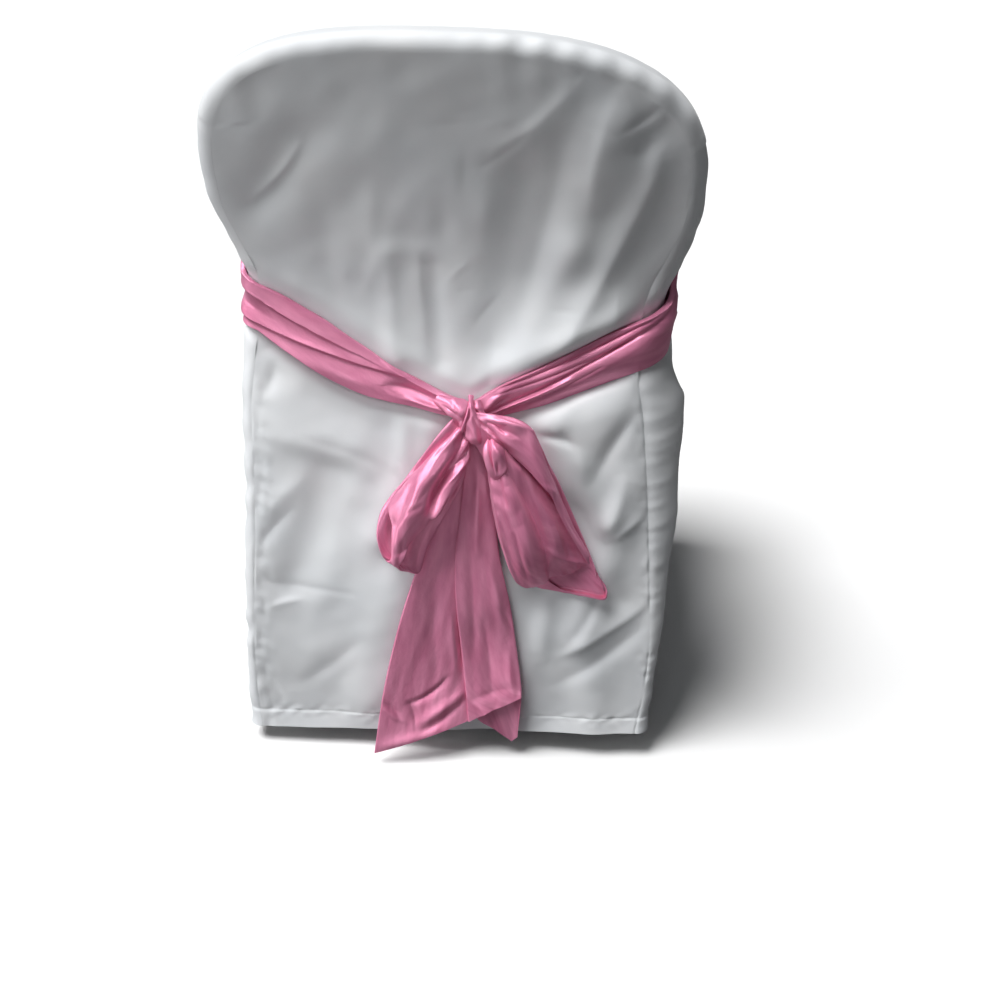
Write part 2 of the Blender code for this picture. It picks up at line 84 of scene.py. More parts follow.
Level = namedtuple("Level", "height left right rear depth left_round right_round")
LEVELS = (
    Level(0.027, 0.2160, 0.2205, -0.0300, 0.062, 0.009, 0.010),
    Level(0.080, 0.2210, 0.2270, -0.0245, 0.062, 0.009, 0.010),
    Level(0.150, 0.2200, 0.2310, -0.0180, 0.062, 0.009, 0.012),
    Level(0.300, 0.2135, 0.2350, 0.0000, 0.062, 0.010, 0.028),
    Level(0.395, 0.2130, 0.2340, 0.0140, 0.062, 0.010, 0.038),
    Level(0.445, 0.2095, 0.2195, 0.0235, 0.060, 0.012, 0.032),
    Level(0.490, 0.2045, 0.2125, 0.0320, 0.058, 0.013, 0.026),
    Level(0.530, 0.2040, 0.2150, 0.0330, 0.056, 0.014, 0.022),
    Level(0.570, 0.2190, 0.2300, 0.0280, 0.052, 0.014, 0.021),
    Level(0.600, 0.2300, 0.2365, 0.0220, 0.048, 0.014, 0.018),
    Level(0.630, 0.2340, 0.2365, 0.0150, 0.044, 0.015, 0.015),
    Level(0.670, 0.2345, 0.2365, 0.0045, 0.041, 0.015, 0.015),
    Level(0.720, 0.2345, 0.2365, -0.0070, 0.038, 0.015, 0.015),
    Level(0.770, 0.2345, 0.2365, -0.0180, 0.036, 0.015, 0.015),
)


def smooth_curve(keys, values, at):
    """Values at many places on a smooth curve through a table's rows."""
    keys, values = np.asarray(keys, float), np.asarray(values, float)
    at = np.clip(np.asarray(at, float), keys[0], keys[-1])
    number, last = np.arange(len(keys)), len(keys) - 1
    low, high = np.maximum(number - 1, 0), np.minimum(number + 1, last)
    slopes = (values[high] - values[low]) / (keys[high] - keys[low])
    k = np.clip(np.searchsorted(keys, at, side="right") - 1, 0, last - 1)
    span = keys[k + 1] - keys[k]
    t = (at - keys[k]) / span
    start = (1 + 2 * t) * (1 - t) ** 2 * values[k] + t * (1 - t) ** 2 * span * slopes[k]
    return start + t * t * (3 - 2 * t) * values[k + 1] + t * t * (t - 1) * span * slopes[k + 1]


def level(field, height):
    """One column of the table at many heights."""
    column = [getattr(row, field) for row in LEVELS]
    return smooth_curve([row.height for row in LEVELS], column, height)


print("half width at the shoulders:", level("left", SHOULDER), level("right", SHOULDER))

# %% [markdown]
# ## The cover's net
#
# Every point of the cover is named by three numbers: `a` across it from -1 to 1, `b` from the
# outside back (0) round the corner to the side or top (0.4), past the inside back (1) to the
# front of the seat (2), and `c` up it. The shoulders are superellipses, a rounded form between an
# ellipse and a rectangle, and all of a panel's points are placed at once with arrays.

# %% Place points of the net on the chair
def rounding(a, height):
    """Radius of a rear corner, which goes on over the shoulders and the top."""
    height = np.minimum(height, SHOULDER)
    return np.where(a < 0, level("left_round", height), level("right_round", height))


def half_width(a, height):
    """Half width of the cover on the side that a names."""
    return np.where(a < 0, level("left", height), level("right", height))


def place(a, b, c):
    """Points of the net on the chair, as an array of rows x, y, z."""
    a, b, c = np.broadcast_arrays(*(np.asarray(value, float) for value in (a, b, c)))
    power = np.where(a < 0, LEFT_SHOULDER_POWER, RIGHT_SHOULDER_POWER)
    slant = WEDGE_SLANT * np.minimum(b, 1) * np.maximum(0, 1 - np.abs(c - WEDGE) / 0.05)
    c = np.where(c > SHOULDER, c + slant, c)
    rise = np.clip((c - SHOULDER) / (CHAIR_TOP - SHOULDER), 0, 1)
    turn = math.pi / 2 * np.minimum(b / END_ROUND, 1)
    radius = rounding(a, c)
    inset = radius * (1 - np.sin(turn))
    lower = (1 - np.abs(a) ** power / 2) ** (1 / power)
    height = np.where(rise > 0, SHOULDER + (CHAIR_TOP - inset - SHOULDER) * rise * lower, c)

    rear = level("rear", height)
    inside_back = rear + level("depth", height)
    front = SEAT_FRONT + (SKIRT_FRONT - SEAT_FRONT) * (SEAT - height) / (SEAT - HEM)
    y = rear + radius * (1 - np.cos(turn))
    along_top = rear + radius + (inside_back - rear - radius) * (b - END_ROUND) / (1 - END_ROUND)
    y = np.where(b > END_ROUND, along_top, y)
    y = np.where(b > 1, inside_back + (front - inside_back) * (b - 1), y)
    below_seat = np.clip((SEAT + 0.04 - height) / 0.04, 0, 1)
    share = (y - rear) / (front - rear)
    wide = half_width(a, height)
    wide = wide + (FRONT_HALF_WIDTH - wide) * share * below_seat
    x = a * (wide - inset) * (1 - rise ** power / 2) ** (1 / power)
    tilt = HEM_TILT * x * np.clip((HEM_TILT_TOP - c) / (HEM_TILT_TOP - HEM), 0, 1)
    return np.stack([x, y, height + tilt - CHAIR_TOP], -1)


print("middle of the top, in the part's frame:", place(0, 0.7, CHAIR_TOP).round(4))

# %% [markdown]
# ## Folds and creases
#
# Cloth that is pulled by a tight sash and creased by storage shows soft folds and short crisp
# creases. Each is one row of a table: a line from one end to the other, how far its middle bows
# to the left of that way, how far it stands out (a valley is negative), how wide it is on its
# left and right, and how sharp its crest is (2 is soft, 1 is a crisp crease).

# %% How folds raise the cloth
Crease = namedtuple("Crease", "x0 height0 x1 height1 bow out left right sharp")


def crease_relief(creases, x, height):
    """How far the cloth stands out at many places, from all the creases of a table."""
    total = np.zeros_like(x)
    steps = np.linspace(0, 1, 17)
    for crease in creases:
        start, end = np.array(crease[0:2]), np.array(crease[2:4])
        along = end - start
        length = math.hypot(*along)
        left = np.array([-along[1], along[0]]) / length
        line = start + np.outer(steps, along) + np.outer(4 * crease.bow * steps * (1 - steps), left)
        reach = 3 * max(crease.left, crease.right)
        near = ((x > line[:, 0].min() - reach) & (x < line[:, 0].max() + reach)
                & (height > line[:, 1].min() - reach) & (height < line[:, 1].max() + reach))
        if not near.any():
            continue
        px, ph = x[near], height[near]
        best = np.full(px.shape, 1e9)
        side, share = np.zeros_like(px), np.zeros_like(px)
        for k in range(len(steps) - 1):
            step = line[k + 1] - line[k]
            dx, dh = px - line[k, 0], ph - line[k, 1]
            t = np.clip((dx * step[0] + dh * step[1]) / step.dot(step), 0, 1)
            dx, dh = dx - t * step[0], dh - t * step[1]
            distance = np.hypot(dx, dh)
            closer = distance < best
            best = np.where(closer, distance, best)
            side = np.where(closer, step[0] * dh - step[1] * dx, side)
            share = np.where(closer, (k + t) / (len(steps) - 1), share)
        width = np.where(side > 0, crease.left, crease.right)
        ends = np.sin(math.pi * np.clip(0.08 + 0.84 * share, 0, 1)) ** 0.8
        total[near] += crease.out * ends * np.exp(-(best / width) ** crease.sharp)
    return total


def ripple(u, v, wavelength, seed, waves=24):
    """Gentle uneven waves, about one unit high, made of many flat waves in mixed directions."""
    random = np.random.default_rng(seed)
    total = np.zeros_like(u)
    for _ in range(waves):
        direction = random.uniform(0, 2 * math.pi)
        rate = 2 * math.pi / (wavelength * random.uniform(0.7, 1.5))
        across = u * math.cos(direction) + v * math.sin(direction)
        total += np.sin(rate * across + random.uniform(0, 6.3))
    return total / math.sqrt(waves / 2)


print("a soft wave over 0.1 m:", ripple(np.linspace(0, 0.1, 4), np.zeros(4), 0.08, 1).round(2))

# %% [markdown]
# ## A sheet of cloth
#
# Each panel is one grid of points, dense enough for its creases. It is placed on the chair,
# raised along its own normals by its folds, and given its thickness by a Solidify modifier. The
# cloth is half a millimetre thick, and its outer face lies 1.1 mm out from the chair. A UV map
# keeps each point's place on the flat cloth in metres, so that the weave follows the cloth
# wherever it goes.

# %% Make a grid into a thin sheet
CLOTH, OUTER_FACE = 0.0005, 0.0011


def lines(*stretches):
    """Grid lines through stretches of (start, end, step), each end used once."""
    parts = [np.linspace(start, end, max(round(abs(end - start) / step), 1) + 1)
             for start, end, step in stretches]
    return np.concatenate([parts[0]] + [part[1:] for part in parts[1:]])


def grid_faces(shape, keep=None):
    """The grid's faces as point numbers, without the cells that aren't kept."""
    number = np.arange(shape[0] * shape[1]).reshape(shape)
    faces = np.stack([number[:-1, :-1], number[:-1, 1:], number[1:, 1:], number[1:, :-1]], -1)
    return faces[keep] if keep is not None else faces.reshape(-1, 4)


def make_sheet(name, points, flat, faces, extra=None):
    """A mesh object of the grid, its flat places as UVs in metres."""
    used = np.unique(faces)
    renumber = np.zeros(len(points), int)
    renumber[used] = np.arange(len(used))
    mesh = bpy.data.meshes.new(name)
    mesh.from_pydata(points[used].tolist(), [], renumber[faces].tolist())
    uv = mesh.uv_layers.new(name="flat")
    corner = np.empty(len(mesh.loops), int)
    mesh.loops.foreach_get("vertex_index", corner)
    uv.data.foreach_set("uv", flat[used][corner].astype(np.float32).ravel())
    if extra is not None:
        net = mesh.attributes.new("net", "FLOAT_VECTOR", "POINT")
        net.data.foreach_set("vector", extra[used].astype(np.float32).ravel())
    thing = bpy.data.objects.new(name, mesh)
    bpy.context.scene.collection.objects.link(thing)
    return thing


def weld(thing, outward):
    """Joins points that lie together, and turns the sheet's outer face the way it should look."""
    bm = bmesh.new()
    bm.from_mesh(thing.data)
    bmesh.ops.remove_doubles(bm, verts=bm.verts, dist=1e-5)
    bmesh.ops.recalc_face_normals(bm, faces=bm.faces)
    facing = sum(outward(face.calc_center_median()).dot(face.normal) * face.calc_area()
                 for face in bm.faces)
    if facing < 0:
        bmesh.ops.reverse_faces(bm, faces=bm.faces)
    bm.to_mesh(thing.data)
    bm.free()


def lay_panel(name, net_a, net_b, net_c, keep, outward, flat_u, flat_v):
    """A panel of the cover, placed on the chair from its net."""
    points = place(net_a, net_b, net_c).reshape(-1, 3)
    flat = np.stack(np.broadcast_arrays(flat_u, flat_v), -1).reshape(-1, 2)
    net = np.stack([net_a, net_b, net_c], -1).reshape(-1, 3)
    sheet = make_sheet(name, points, flat, grid_faces(net_a.shape, keep), net)
    weld(sheet, outward)
    return sheet


def read_points(thing, kind):
    """Places, normals or net places of a sheet's points as an array."""
    mesh = thing.data
    if kind == "co":
        source, field = mesh.vertices, "co"
    elif kind == "normal":
        source, field = mesh.vertex_normals, "vector"
    else:
        source, field = mesh.attributes[kind].data, "vector"
    values = np.empty(len(mesh.vertices) * 3, np.float32)
    source.foreach_get(field, values)
    return values.reshape(-1, 3).astype(float)


def move_out(thing, distance):
    """Moves every point along its own normal."""
    moved = read_points(thing, "co") + read_points(thing, "normal") * distance[:, None]
    thing.data.vertices.foreach_set("co", moved.astype(np.float32).ravel())
    thing.data.update()


def thicken(thing, thickness, sharp_angle=60):
    """Gives the sheet its thickness, inwards from its outer face, and keeps its cut edges crisp."""
    bpy.context.view_layer.objects.active = thing
    shell = thing.modifiers.new("cloth", "SOLIDIFY")
    shell.thickness, shell.offset = thickness, -1
    bpy.ops.object.modifier_apply(modifier=shell.name)
    thing.data.shade_smooth()
    thing.data.set_sharp_from_angle(angle=math.radians(sharp_angle))
    triangles = sum(len(face.vertices) - 2 for face in thing.data.polygons)
    print(f"{thing.name}: {triangles} triangles")


# %% [markdown]
# ## The outside back
#
# This is the panel that shows the bow. Flaps of it go over the top and the shoulders, where they
# meet the inside back. Its broad folds run from the right shoulder down to the knot, and short
# crisp creases lie where the cloth was once folded.

# %% Folds of the outside back
Fold = namedtuple("Fold", "x0 height0 x1 height1 out width")
BROAD_FOLDS = (
    Fold(0.150, 0.690, 0.118, 0.575, 0.0060, 0.030),
    Fold(0.118, 0.575, 0.062, 0.450, 0.0050, 0.022),
    Fold(0.070, 0.640, 0.040, 0.470, -0.0055, 0.024),
    Fold(-0.140, 0.670, -0.185, 0.605, -0.0045, 0.020),
    Fold(-0.060, 0.560, -0.055, 0.455, 0.0040, 0.014),
    Fold(-0.020, 0.545, -0.012, 0.450, -0.0035, 0.012),
    Fold(0.175, 0.675, 0.200, 0.705, -0.0035, 0.012),
    Fold(0.105, 0.385, 0.165, 0.290, 0.0060, 0.018),
    Fold(0.070, 0.375, 0.090, 0.200, -0.0050, 0.022),
    Fold(0.196, 0.330, 0.140, 0.150, 0.0055, 0.020),
    Fold(-0.020, 0.385, -0.075, 0.260, 0.0045, 0.020),
    Fold(-0.120, 0.330, -0.165, 0.200, -0.0045, 0.022),
    Fold(-0.060, 0.200, -0.085, 0.060, 0.0045, 0.030),
    Fold(0.040, 0.150, 0.050, 0.030, -0.0040, 0.028),
    Fold(0.150, 0.160, 0.165, 0.030, 0.0040, 0.024),
)
Band = namedtuple("Band", "x low high out_low out_mid out_high")
REAR_BAND = (
    Band(-0.214, 0.489, 0.530, 0.0005, 0.0003, 0.0002),
    Band(-0.188, 0.474, 0.521, 0.0060, 0.0035, 0.0010),
    Band(-0.165, 0.460, 0.510, 0.0100, 0.0060, 0.0012),
    Band(-0.145, 0.448, 0.499, 0.0115, 0.0068, 0.0014),
    Band(-0.125, 0.436, 0.488, 0.0120, 0.0072, 0.0016),
    Band(-0.105, 0.426, 0.475, 0.0120, 0.0076, 0.0018),
    Band(-0.080, 0.416, 0.460, 0.0120, 0.0080, 0.0024),
    Band(-0.055, 0.410, 0.444, 0.0115, 0.0085, 0.0036),
    Band(-0.034, 0.406, 0.434, 0.0100, 0.0095, 0.0065),
    Band(-0.012, 0.401, 0.423, 0.0110, 0.0110, 0.0085),
    Band(0.004, 0.398, 0.416, 0.0120, 0.0125, 0.0105),
    Band(0.020, 0.396, 0.412, 0.0120, 0.0130, 0.0110),
    Band(0.040, 0.397, 0.424, 0.0090, 0.0115, 0.0095),
    Band(0.063, 0.401, 0.436, 0.0010, 0.0080, 0.0090),
    Band(0.094, 0.410, 0.451, 0.0000, 0.0112, 0.0112),
    Band(0.130, 0.424, 0.470, 0.0000, 0.0128, 0.0128),
    Band(0.160, 0.436, 0.487, 0.0000, 0.0128, 0.0125),
    Band(0.190, 0.449, 0.502, 0.0000, 0.0088, 0.0080),
    Band(0.219, 0.465, 0.526, 0.0005, 0.0015, 0.0010),
)
FRONT_BAND = Band(0.0, 0.490, 0.556, 0.0025, 0.0025, 0.0025)


def broad_relief(x, height):
    """How far the broad folds raise the cloth. Each dies away on both sides of its line."""
    total = np.zeros_like(x)
    for x0, h0, x1, h1, out, width in BROAD_FOLDS:
        dx, dh = x1 - x0, h1 - h0
        share = np.clip(((x - x0) * dx + (height - h0) * dh) / (dx * dx + dh * dh), 0, 1)
        away = (x - x0 - share * dx) ** 2 + (height - h0 - share * dh) ** 2
        total += out * np.exp(-away / width ** 2)
    return total


def band_field(name, x):
    """One column of the rear band's table at many places across the chair."""
    column = [getattr(row, name) for row in REAR_BAND]
    return smooth_curve([row.x for row in REAR_BAND], column, x)


def band_edges(x):
    """Lower and upper edge of the sash behind the chair."""
    return band_field("low", x), band_field("high", x)


BACK_CREASES = (
    Crease(0.090, 0.376, 0.215, 0.420, 0.000, 0.0085, 0.020, 0.060, 2.0),
    Crease(0.093, 0.379, 0.127, 0.371, 0.002, -0.0040, 0.006, 0.004, 1.5),
    Crease(0.118, 0.382, 0.140, 0.345, 0.002, 0.0024, 0.005, 0.007, 1.6),
    Crease(-0.137, 0.668, -0.188, 0.610, 0.004, 0.0030, 0.004, 0.010, 1.3),
    Crease(0.013, 0.667, 0.011, 0.622, 0.000, -0.0008, 0.008, 0.005, 1.6),
    Crease(0.068, 0.684, 0.027, 0.650, 0.003, -0.0016, 0.004, 0.007, 1.3),
    Crease(0.107, 0.727, 0.045, 0.668, 0.004, 0.0026, 0.016, 0.008, 1.7),
    Crease(0.148, 0.722, 0.130, 0.606, -0.006, 0.0020, 0.012, 0.008, 1.7),
    Crease(0.195, 0.721, 0.156, 0.691, 0.002, -0.0022, 0.004, 0.006, 1.2),
    Crease(0.192, 0.663, 0.096, 0.446, 0.006, 0.0075, 0.014, 0.018, 1.7),
    Crease(0.104, 0.670, 0.063, 0.470, 0.002, -0.0050, 0.017, 0.015, 1.8),
    Crease(0.032, 0.635, 0.032, 0.585, 0.000, 0.0015, 0.010, 0.010, 2.0),
    Crease(-0.005, 0.531, 0.016, 0.553, 0.001, 0.0009, 0.003, 0.004, 1.1),
    Crease(0.005, 0.520, 0.020, 0.523, 0.001, -0.0006, 0.003, 0.003, 1.1),
    Crease(0.024, 0.488, 0.047, 0.516, 0.002, -0.0010, 0.003, 0.005, 1.1),
    Crease(0.098, 0.508, 0.126, 0.509, 0.000, -0.0009, 0.003, 0.003, 1.1),
    Crease(-0.055, 0.562, -0.051, 0.460, 0.002, -0.0018, 0.009, 0.010, 1.8),
    Crease(-0.033, 0.565, -0.026, 0.465, 0.000, 0.0018, 0.006, 0.008, 1.5),
    Crease(-0.069, 0.562, -0.084, 0.520, 0.000, 0.0012, 0.008, 0.008, 2.0),
    Crease(-0.119, 0.610, -0.110, 0.480, -0.004, -0.0015, 0.012, 0.014, 2.0),
    Crease(-0.074, 0.625, -0.077, 0.565, 0.000, 0.0014, 0.010, 0.010, 2.0),
    Crease(-0.010, 0.626, -0.006, 0.564, 0.000, -0.0012, 0.010, 0.010, 2.0),
    Crease(0.186, 0.680, 0.184, 0.630, 0.000, 0.0012, 0.008, 0.008, 2.0),
    Crease(-0.204, 0.447, -0.160, 0.466, 0.002, -0.0022, 0.006, 0.007, 1.5),
    Crease(-0.178, 0.440, -0.190, 0.410, 0.002, -0.0030, 0.007, 0.008, 1.6),
    Crease(-0.206, 0.372, -0.046, 0.330, 0.006, 0.0060, 0.045, 0.016, 1.8),
    Crease(-0.150, 0.364, -0.044, 0.322, 0.006, -0.0022, 0.008, 0.010, 1.7),
    Crease(-0.049, 0.399, -0.049, 0.346, 0.003, 0.0030, 0.010, 0.010, 2.0),
    Crease(-0.165, 0.286, -0.214, 0.224, -0.003, -0.0024, 0.006, 0.008, 1.4),
    Crease(-0.152, 0.322, -0.212, 0.258, -0.003, 0.0022, 0.010, 0.012, 1.7),
    Crease(-0.204, 0.214, -0.181, 0.190, 0.000, -0.0024, 0.005, 0.005, 1.3),
    Crease(-0.196, 0.170, -0.158, 0.182, 0.002, 0.0021, 0.004, 0.006, 1.3),
    Crease(-0.203, 0.201, -0.100, 0.192, 0.000, -0.0009, 0.004, 0.004, 1.4),
    Crease(-0.095, 0.137, -0.166, 0.076, 0.004, -0.0014, 0.008, 0.010, 1.7),
    Crease(-0.219, 0.119, -0.183, 0.052, 0.003, -0.0018, 0.003, 0.004, 1.2),
    Crease(-0.220, 0.092, -0.201, 0.058, 0.001, 0.0015, 0.003, 0.003, 1.2),
    Crease(0.186, 0.438, 0.112, 0.402, -0.008, 0.0045, 0.008, 0.016, 1.5),
    Crease(0.112, 0.388, 0.134, 0.358, 0.000, -0.0039, 0.006, 0.008, 1.4),
    Crease(0.180, 0.342, 0.163, 0.276, 0.004, 0.0051, 0.010, 0.012, 1.8),
    Crease(0.194, 0.412, 0.150, 0.334, -0.004, -0.0045, 0.008, 0.010, 1.6),
    Crease(0.126, 0.310, 0.158, 0.256, 0.003, -0.0030, 0.010, 0.010, 1.8),
    Crease(0.212, 0.308, 0.176, 0.272, 0.002, 0.0033, 0.004, 0.007, 1.3),
    Crease(0.225, 0.203, 0.118, 0.126, 0.004, 0.0034, 0.006, 0.012, 1.5),
    Crease(0.226, 0.182, 0.122, 0.090, 0.004, -0.0030, 0.008, 0.010, 1.6),
    Crease(0.104, 0.200, 0.101, 0.125, 0.002, 0.0036, 0.012, 0.014, 2.0),
    Crease(0.164, 0.210, 0.122, 0.130, 0.004, -0.0030, 0.007, 0.009, 1.7),
)
print(len(BACK_CREASES), "creases on the outside back")

# %% Lay the outside back
SEAM_DEPTH, SEAM_WIDTH = 0.0009, 0.0016
HEM_DEPTH, STITCH_WIDTH = 0.019, 0.0012
HALF_PANEL, FLAP = 0.22, 0.03
SASH_LEVEL, BLEND = 0.40, 0.05


def above_sash(height):
    """0 on the lower part of the cover, 1 from the sash up."""
    return np.clip((height - SASH_LEVEL) / BLEND, 0, 1)


def seam_relief(distance, along, seed):
    """The line of a sewn seam, with the uneven puckers that its thread draws beside it."""
    uneven = 0.6 + 0.4 * np.tanh(ripple(along, along * 0, 0.060, seed + 40, 8))
    pucker = ripple(along, distance * 0.7, 0.013, seed, 12) * uneven
    return (-SEAM_DEPTH * uneven * np.exp(-(distance / SEAM_WIDTH) ** 2)
            + 0.0004 * pucker * np.exp(-(distance / 0.010) ** 2))


def hem_relief(up, along, seed):
    """The turned-up hem: twice as thick, with a stitched line and small puckers along it."""
    step = 0.0002 * (1 - np.tanh((up - HEM_DEPTH) / STITCH_WIDTH))
    stitched = 0.0004 * np.exp(-((up - HEM_DEPTH) / STITCH_WIDTH) ** 2)
    pucker = 0.00030 * ripple(along, up, 0.013, seed, 12) * np.exp(-((up - HEM_DEPTH) / 0.008) ** 2)
    flare = 0.0027 * np.clip(1 - up / HEM_DEPTH, 0, 1)
    return step - stitched + pucker + flare


def pinch(height, low, high):
    """How far a sash draws the cloth in, and how the cloth swells just beside its edges."""
    half, middle = (high - low) / 2, (low + high) / 2
    distance = np.abs(height - middle)
    drawn_in = 0.0030 * np.exp(-(distance / (half + 0.010)) ** 4)
    return 0.0012 * np.exp(-((distance - half - 0.018) / 0.010) ** 2) - drawn_in


def right_hollow(x, height, low, high):
    """On the right of the outside back the sash draws the cloth in deeper, under an overhang."""
    half, middle = (high - low) / 2, (low + high) / 2
    reach = np.clip((x - 0.04) / 0.08, 0, 1) * np.clip((0.212 - x) / 0.050, 0, 1)
    above = height - high - 0.004
    lip = np.exp(-(above / np.where(above < 0, 0.0045, 0.045)) ** 2)
    return reach * (0.0165 * lip - 0.0060 * np.exp(-((height - middle) / (half + 0.004)) ** 4))


near_seam = (0.012, 0.007, 0.0033)
across = np.concatenate([[-1], [-1 + step for step in reversed(near_seam)],
                         lines((-0.985, 0.985, 0.0135)), [1 - step for step in near_seam], [1]])
round_lines = lines((0.05, END_ROUND, 0.05), (END_ROUND, 0.88, 0.08), (0.88, 1, 0.03))
column_a = np.concatenate([-np.ones(len(round_lines)), across, np.ones(len(round_lines))])
column_b = np.concatenate([round_lines[::-1], np.zeros(len(across)), round_lines])
back_rows = lines((HEM, 0.034, 0.0016), (0.034, 0.042, 0.0027), (0.042, 0.050, 0.0012),
                  (0.050, WEDGE, 0.0029), (WEDGE, 0.756, 0.0030), (0.756, CHAIR_TOP, 0.0018))
row_c = np.concatenate([back_rows, np.full(len(round_lines), CHAIR_TOP)])
row_b = np.concatenate([np.zeros(len(back_rows)), round_lines])
wedge_row, top_row = int(np.argmin(abs(back_rows - WEDGE))), len(back_rows) - 1
net_a = np.tile(column_a, (len(row_c), 1))
net_b = np.maximum(np.tile(column_b, (len(row_c), 1)), row_b[:, None])
net_c = np.tile(row_c[:, None], (1, len(column_a)))
row_number, column_number = np.indices((len(row_c) - 1, len(column_a) - 1))
last_column = len(column_a) - 1 - len(round_lines)
beside = (column_number < len(round_lines)) | (column_number >= last_column)
keep = ~beside | ((row_number >= wedge_row) & (row_number < top_row))


def path_length(points):
    """How far along a row of points each one lies."""
    steps = np.linalg.norm(np.diff(points, axis=0), axis=1)
    return np.concatenate([[0], np.cumsum(steps)])


flat_u = path_length(place(column_a, column_b, 0.640))
flat_u -= flat_u.mean()
flat_v = path_length(place(0, row_b, row_c))
back = lay_panel("back_cloth", net_a, net_b, net_c, keep, lambda at: at - Vector((0, 0.02, -0.22)),
                 flat_u[None, :], flat_v[:, None])

a, b, c = read_points(back, "net").T
x, y, z = read_points(back, "co").T
height = z + CHAIR_TOP
low, high = band_edges(x)
from_band = np.maximum(np.abs(height - (low + high) / 2) - (high - low) / 2, 0)
under_band = np.exp(-from_band ** 2 / 0.006 ** 2)
turned = np.clip(b / 0.25, 0, 1)
rise = np.clip((c - SHOULDER) / (CHAIR_TOP - SHOULDER), 0, 1)
settled = (1 - np.abs(a) ** 14) * (1 - turned) * (1 - rise ** 12)
waves = 0.0004 * ripple(x, height, 0.080, 3) + 0.00012 * ripple(x, height, 0.030, 4)
drawn = broad_relief(x, height) + pinch(height, low, high) + right_hollow(x, height, low, high)
creased = (1 - under_band) * (crease_relief(BACK_CREASES, x, height) + waves)
relief = settled * (drawn + creased)
side_seam = np.where(c < WEDGE, (1 - np.abs(a)) * HALF_PANEL, (1 - b) * FLAP)
above = above_sash(height)
left_strip = (x < 0) * (1 - above) * np.exp(-(np.minimum(side_seam, 0.05) / 0.016) ** 2)
relief += left_strip * (1 - np.abs(a) ** 40) * 0.0006 * ripple(x * 1.3, height, 0.019, 61, 16)
seam = seam_relief(side_seam, np.where(c < WEDGE, height, x + y), 5)
relief += (1 - 0.75 * above) * (1 - 0.6 * (x < 0)) * seam
relief += hem_relief(np.maximum(c - HEM, 0), x, 6) * (b == 0)
top_edge = np.exp(-((b - 0.22) / 0.2) ** 2) * (c > 0.70)
relief += 0.0006 * top_edge * ripple(x, height * 0.3, 0.030, 7, 14)
move_out(back, relief + OUTER_FACE)
thicken(back, CLOTH)

# %% [markdown]
# ## The gussets
#
# A gusset fills each side between the outside back and the front of the skirt. Beside the chair's
# back it is a narrow strip that ends in a point on the shoulder. It hangs nearly flat, with a few
# upright folds where the sash draws it in.

# %% Lay both gussets
GUSSET_CREASES = {
    -1: (
        Crease(0.050, 0.440, 0.060, 0.100, 0.010, 0.0030, 0.020, 0.020, 2.0),
        Crease(0.130, 0.420, 0.150, 0.040, -0.008, -0.0035, 0.026, 0.024, 2.0),
        Crease(0.220, 0.430, 0.230, 0.060, 0.010, 0.0035, 0.028, 0.026, 2.0),
        Crease(0.330, 0.410, 0.320, 0.040, 0.006, -0.0032, 0.026, 0.030, 2.0),
        Crease(0.400, 0.430, 0.260, 0.330, 0.012, 0.0018, 0.010, 0.014, 1.6),
        Crease(0.040, 0.440, 0.110, 0.330, 0.006, -0.0022, 0.010, 0.012, 1.6),
    ),
    1: (
        Crease(0.060, 0.440, 0.050, 0.110, -0.010, 0.0028, 0.018, 0.022, 2.0),
        Crease(0.120, 0.430, 0.130, 0.050, 0.008, -0.0032, 0.024, 0.024, 2.0),
        Crease(0.210, 0.430, 0.200, 0.060, -0.008, 0.0036, 0.026, 0.028, 2.0),
        Crease(0.300, 0.400, 0.320, 0.040, 0.008, -0.0030, 0.028, 0.026, 2.0),
        Crease(0.410, 0.430, 0.300, 0.310, -0.010, 0.0020, 0.012, 0.014, 1.6),
        Crease(0.035, 0.430, 0.100, 0.350, 0.006, 0.0020, 0.008, 0.012, 1.5),
    ),
}


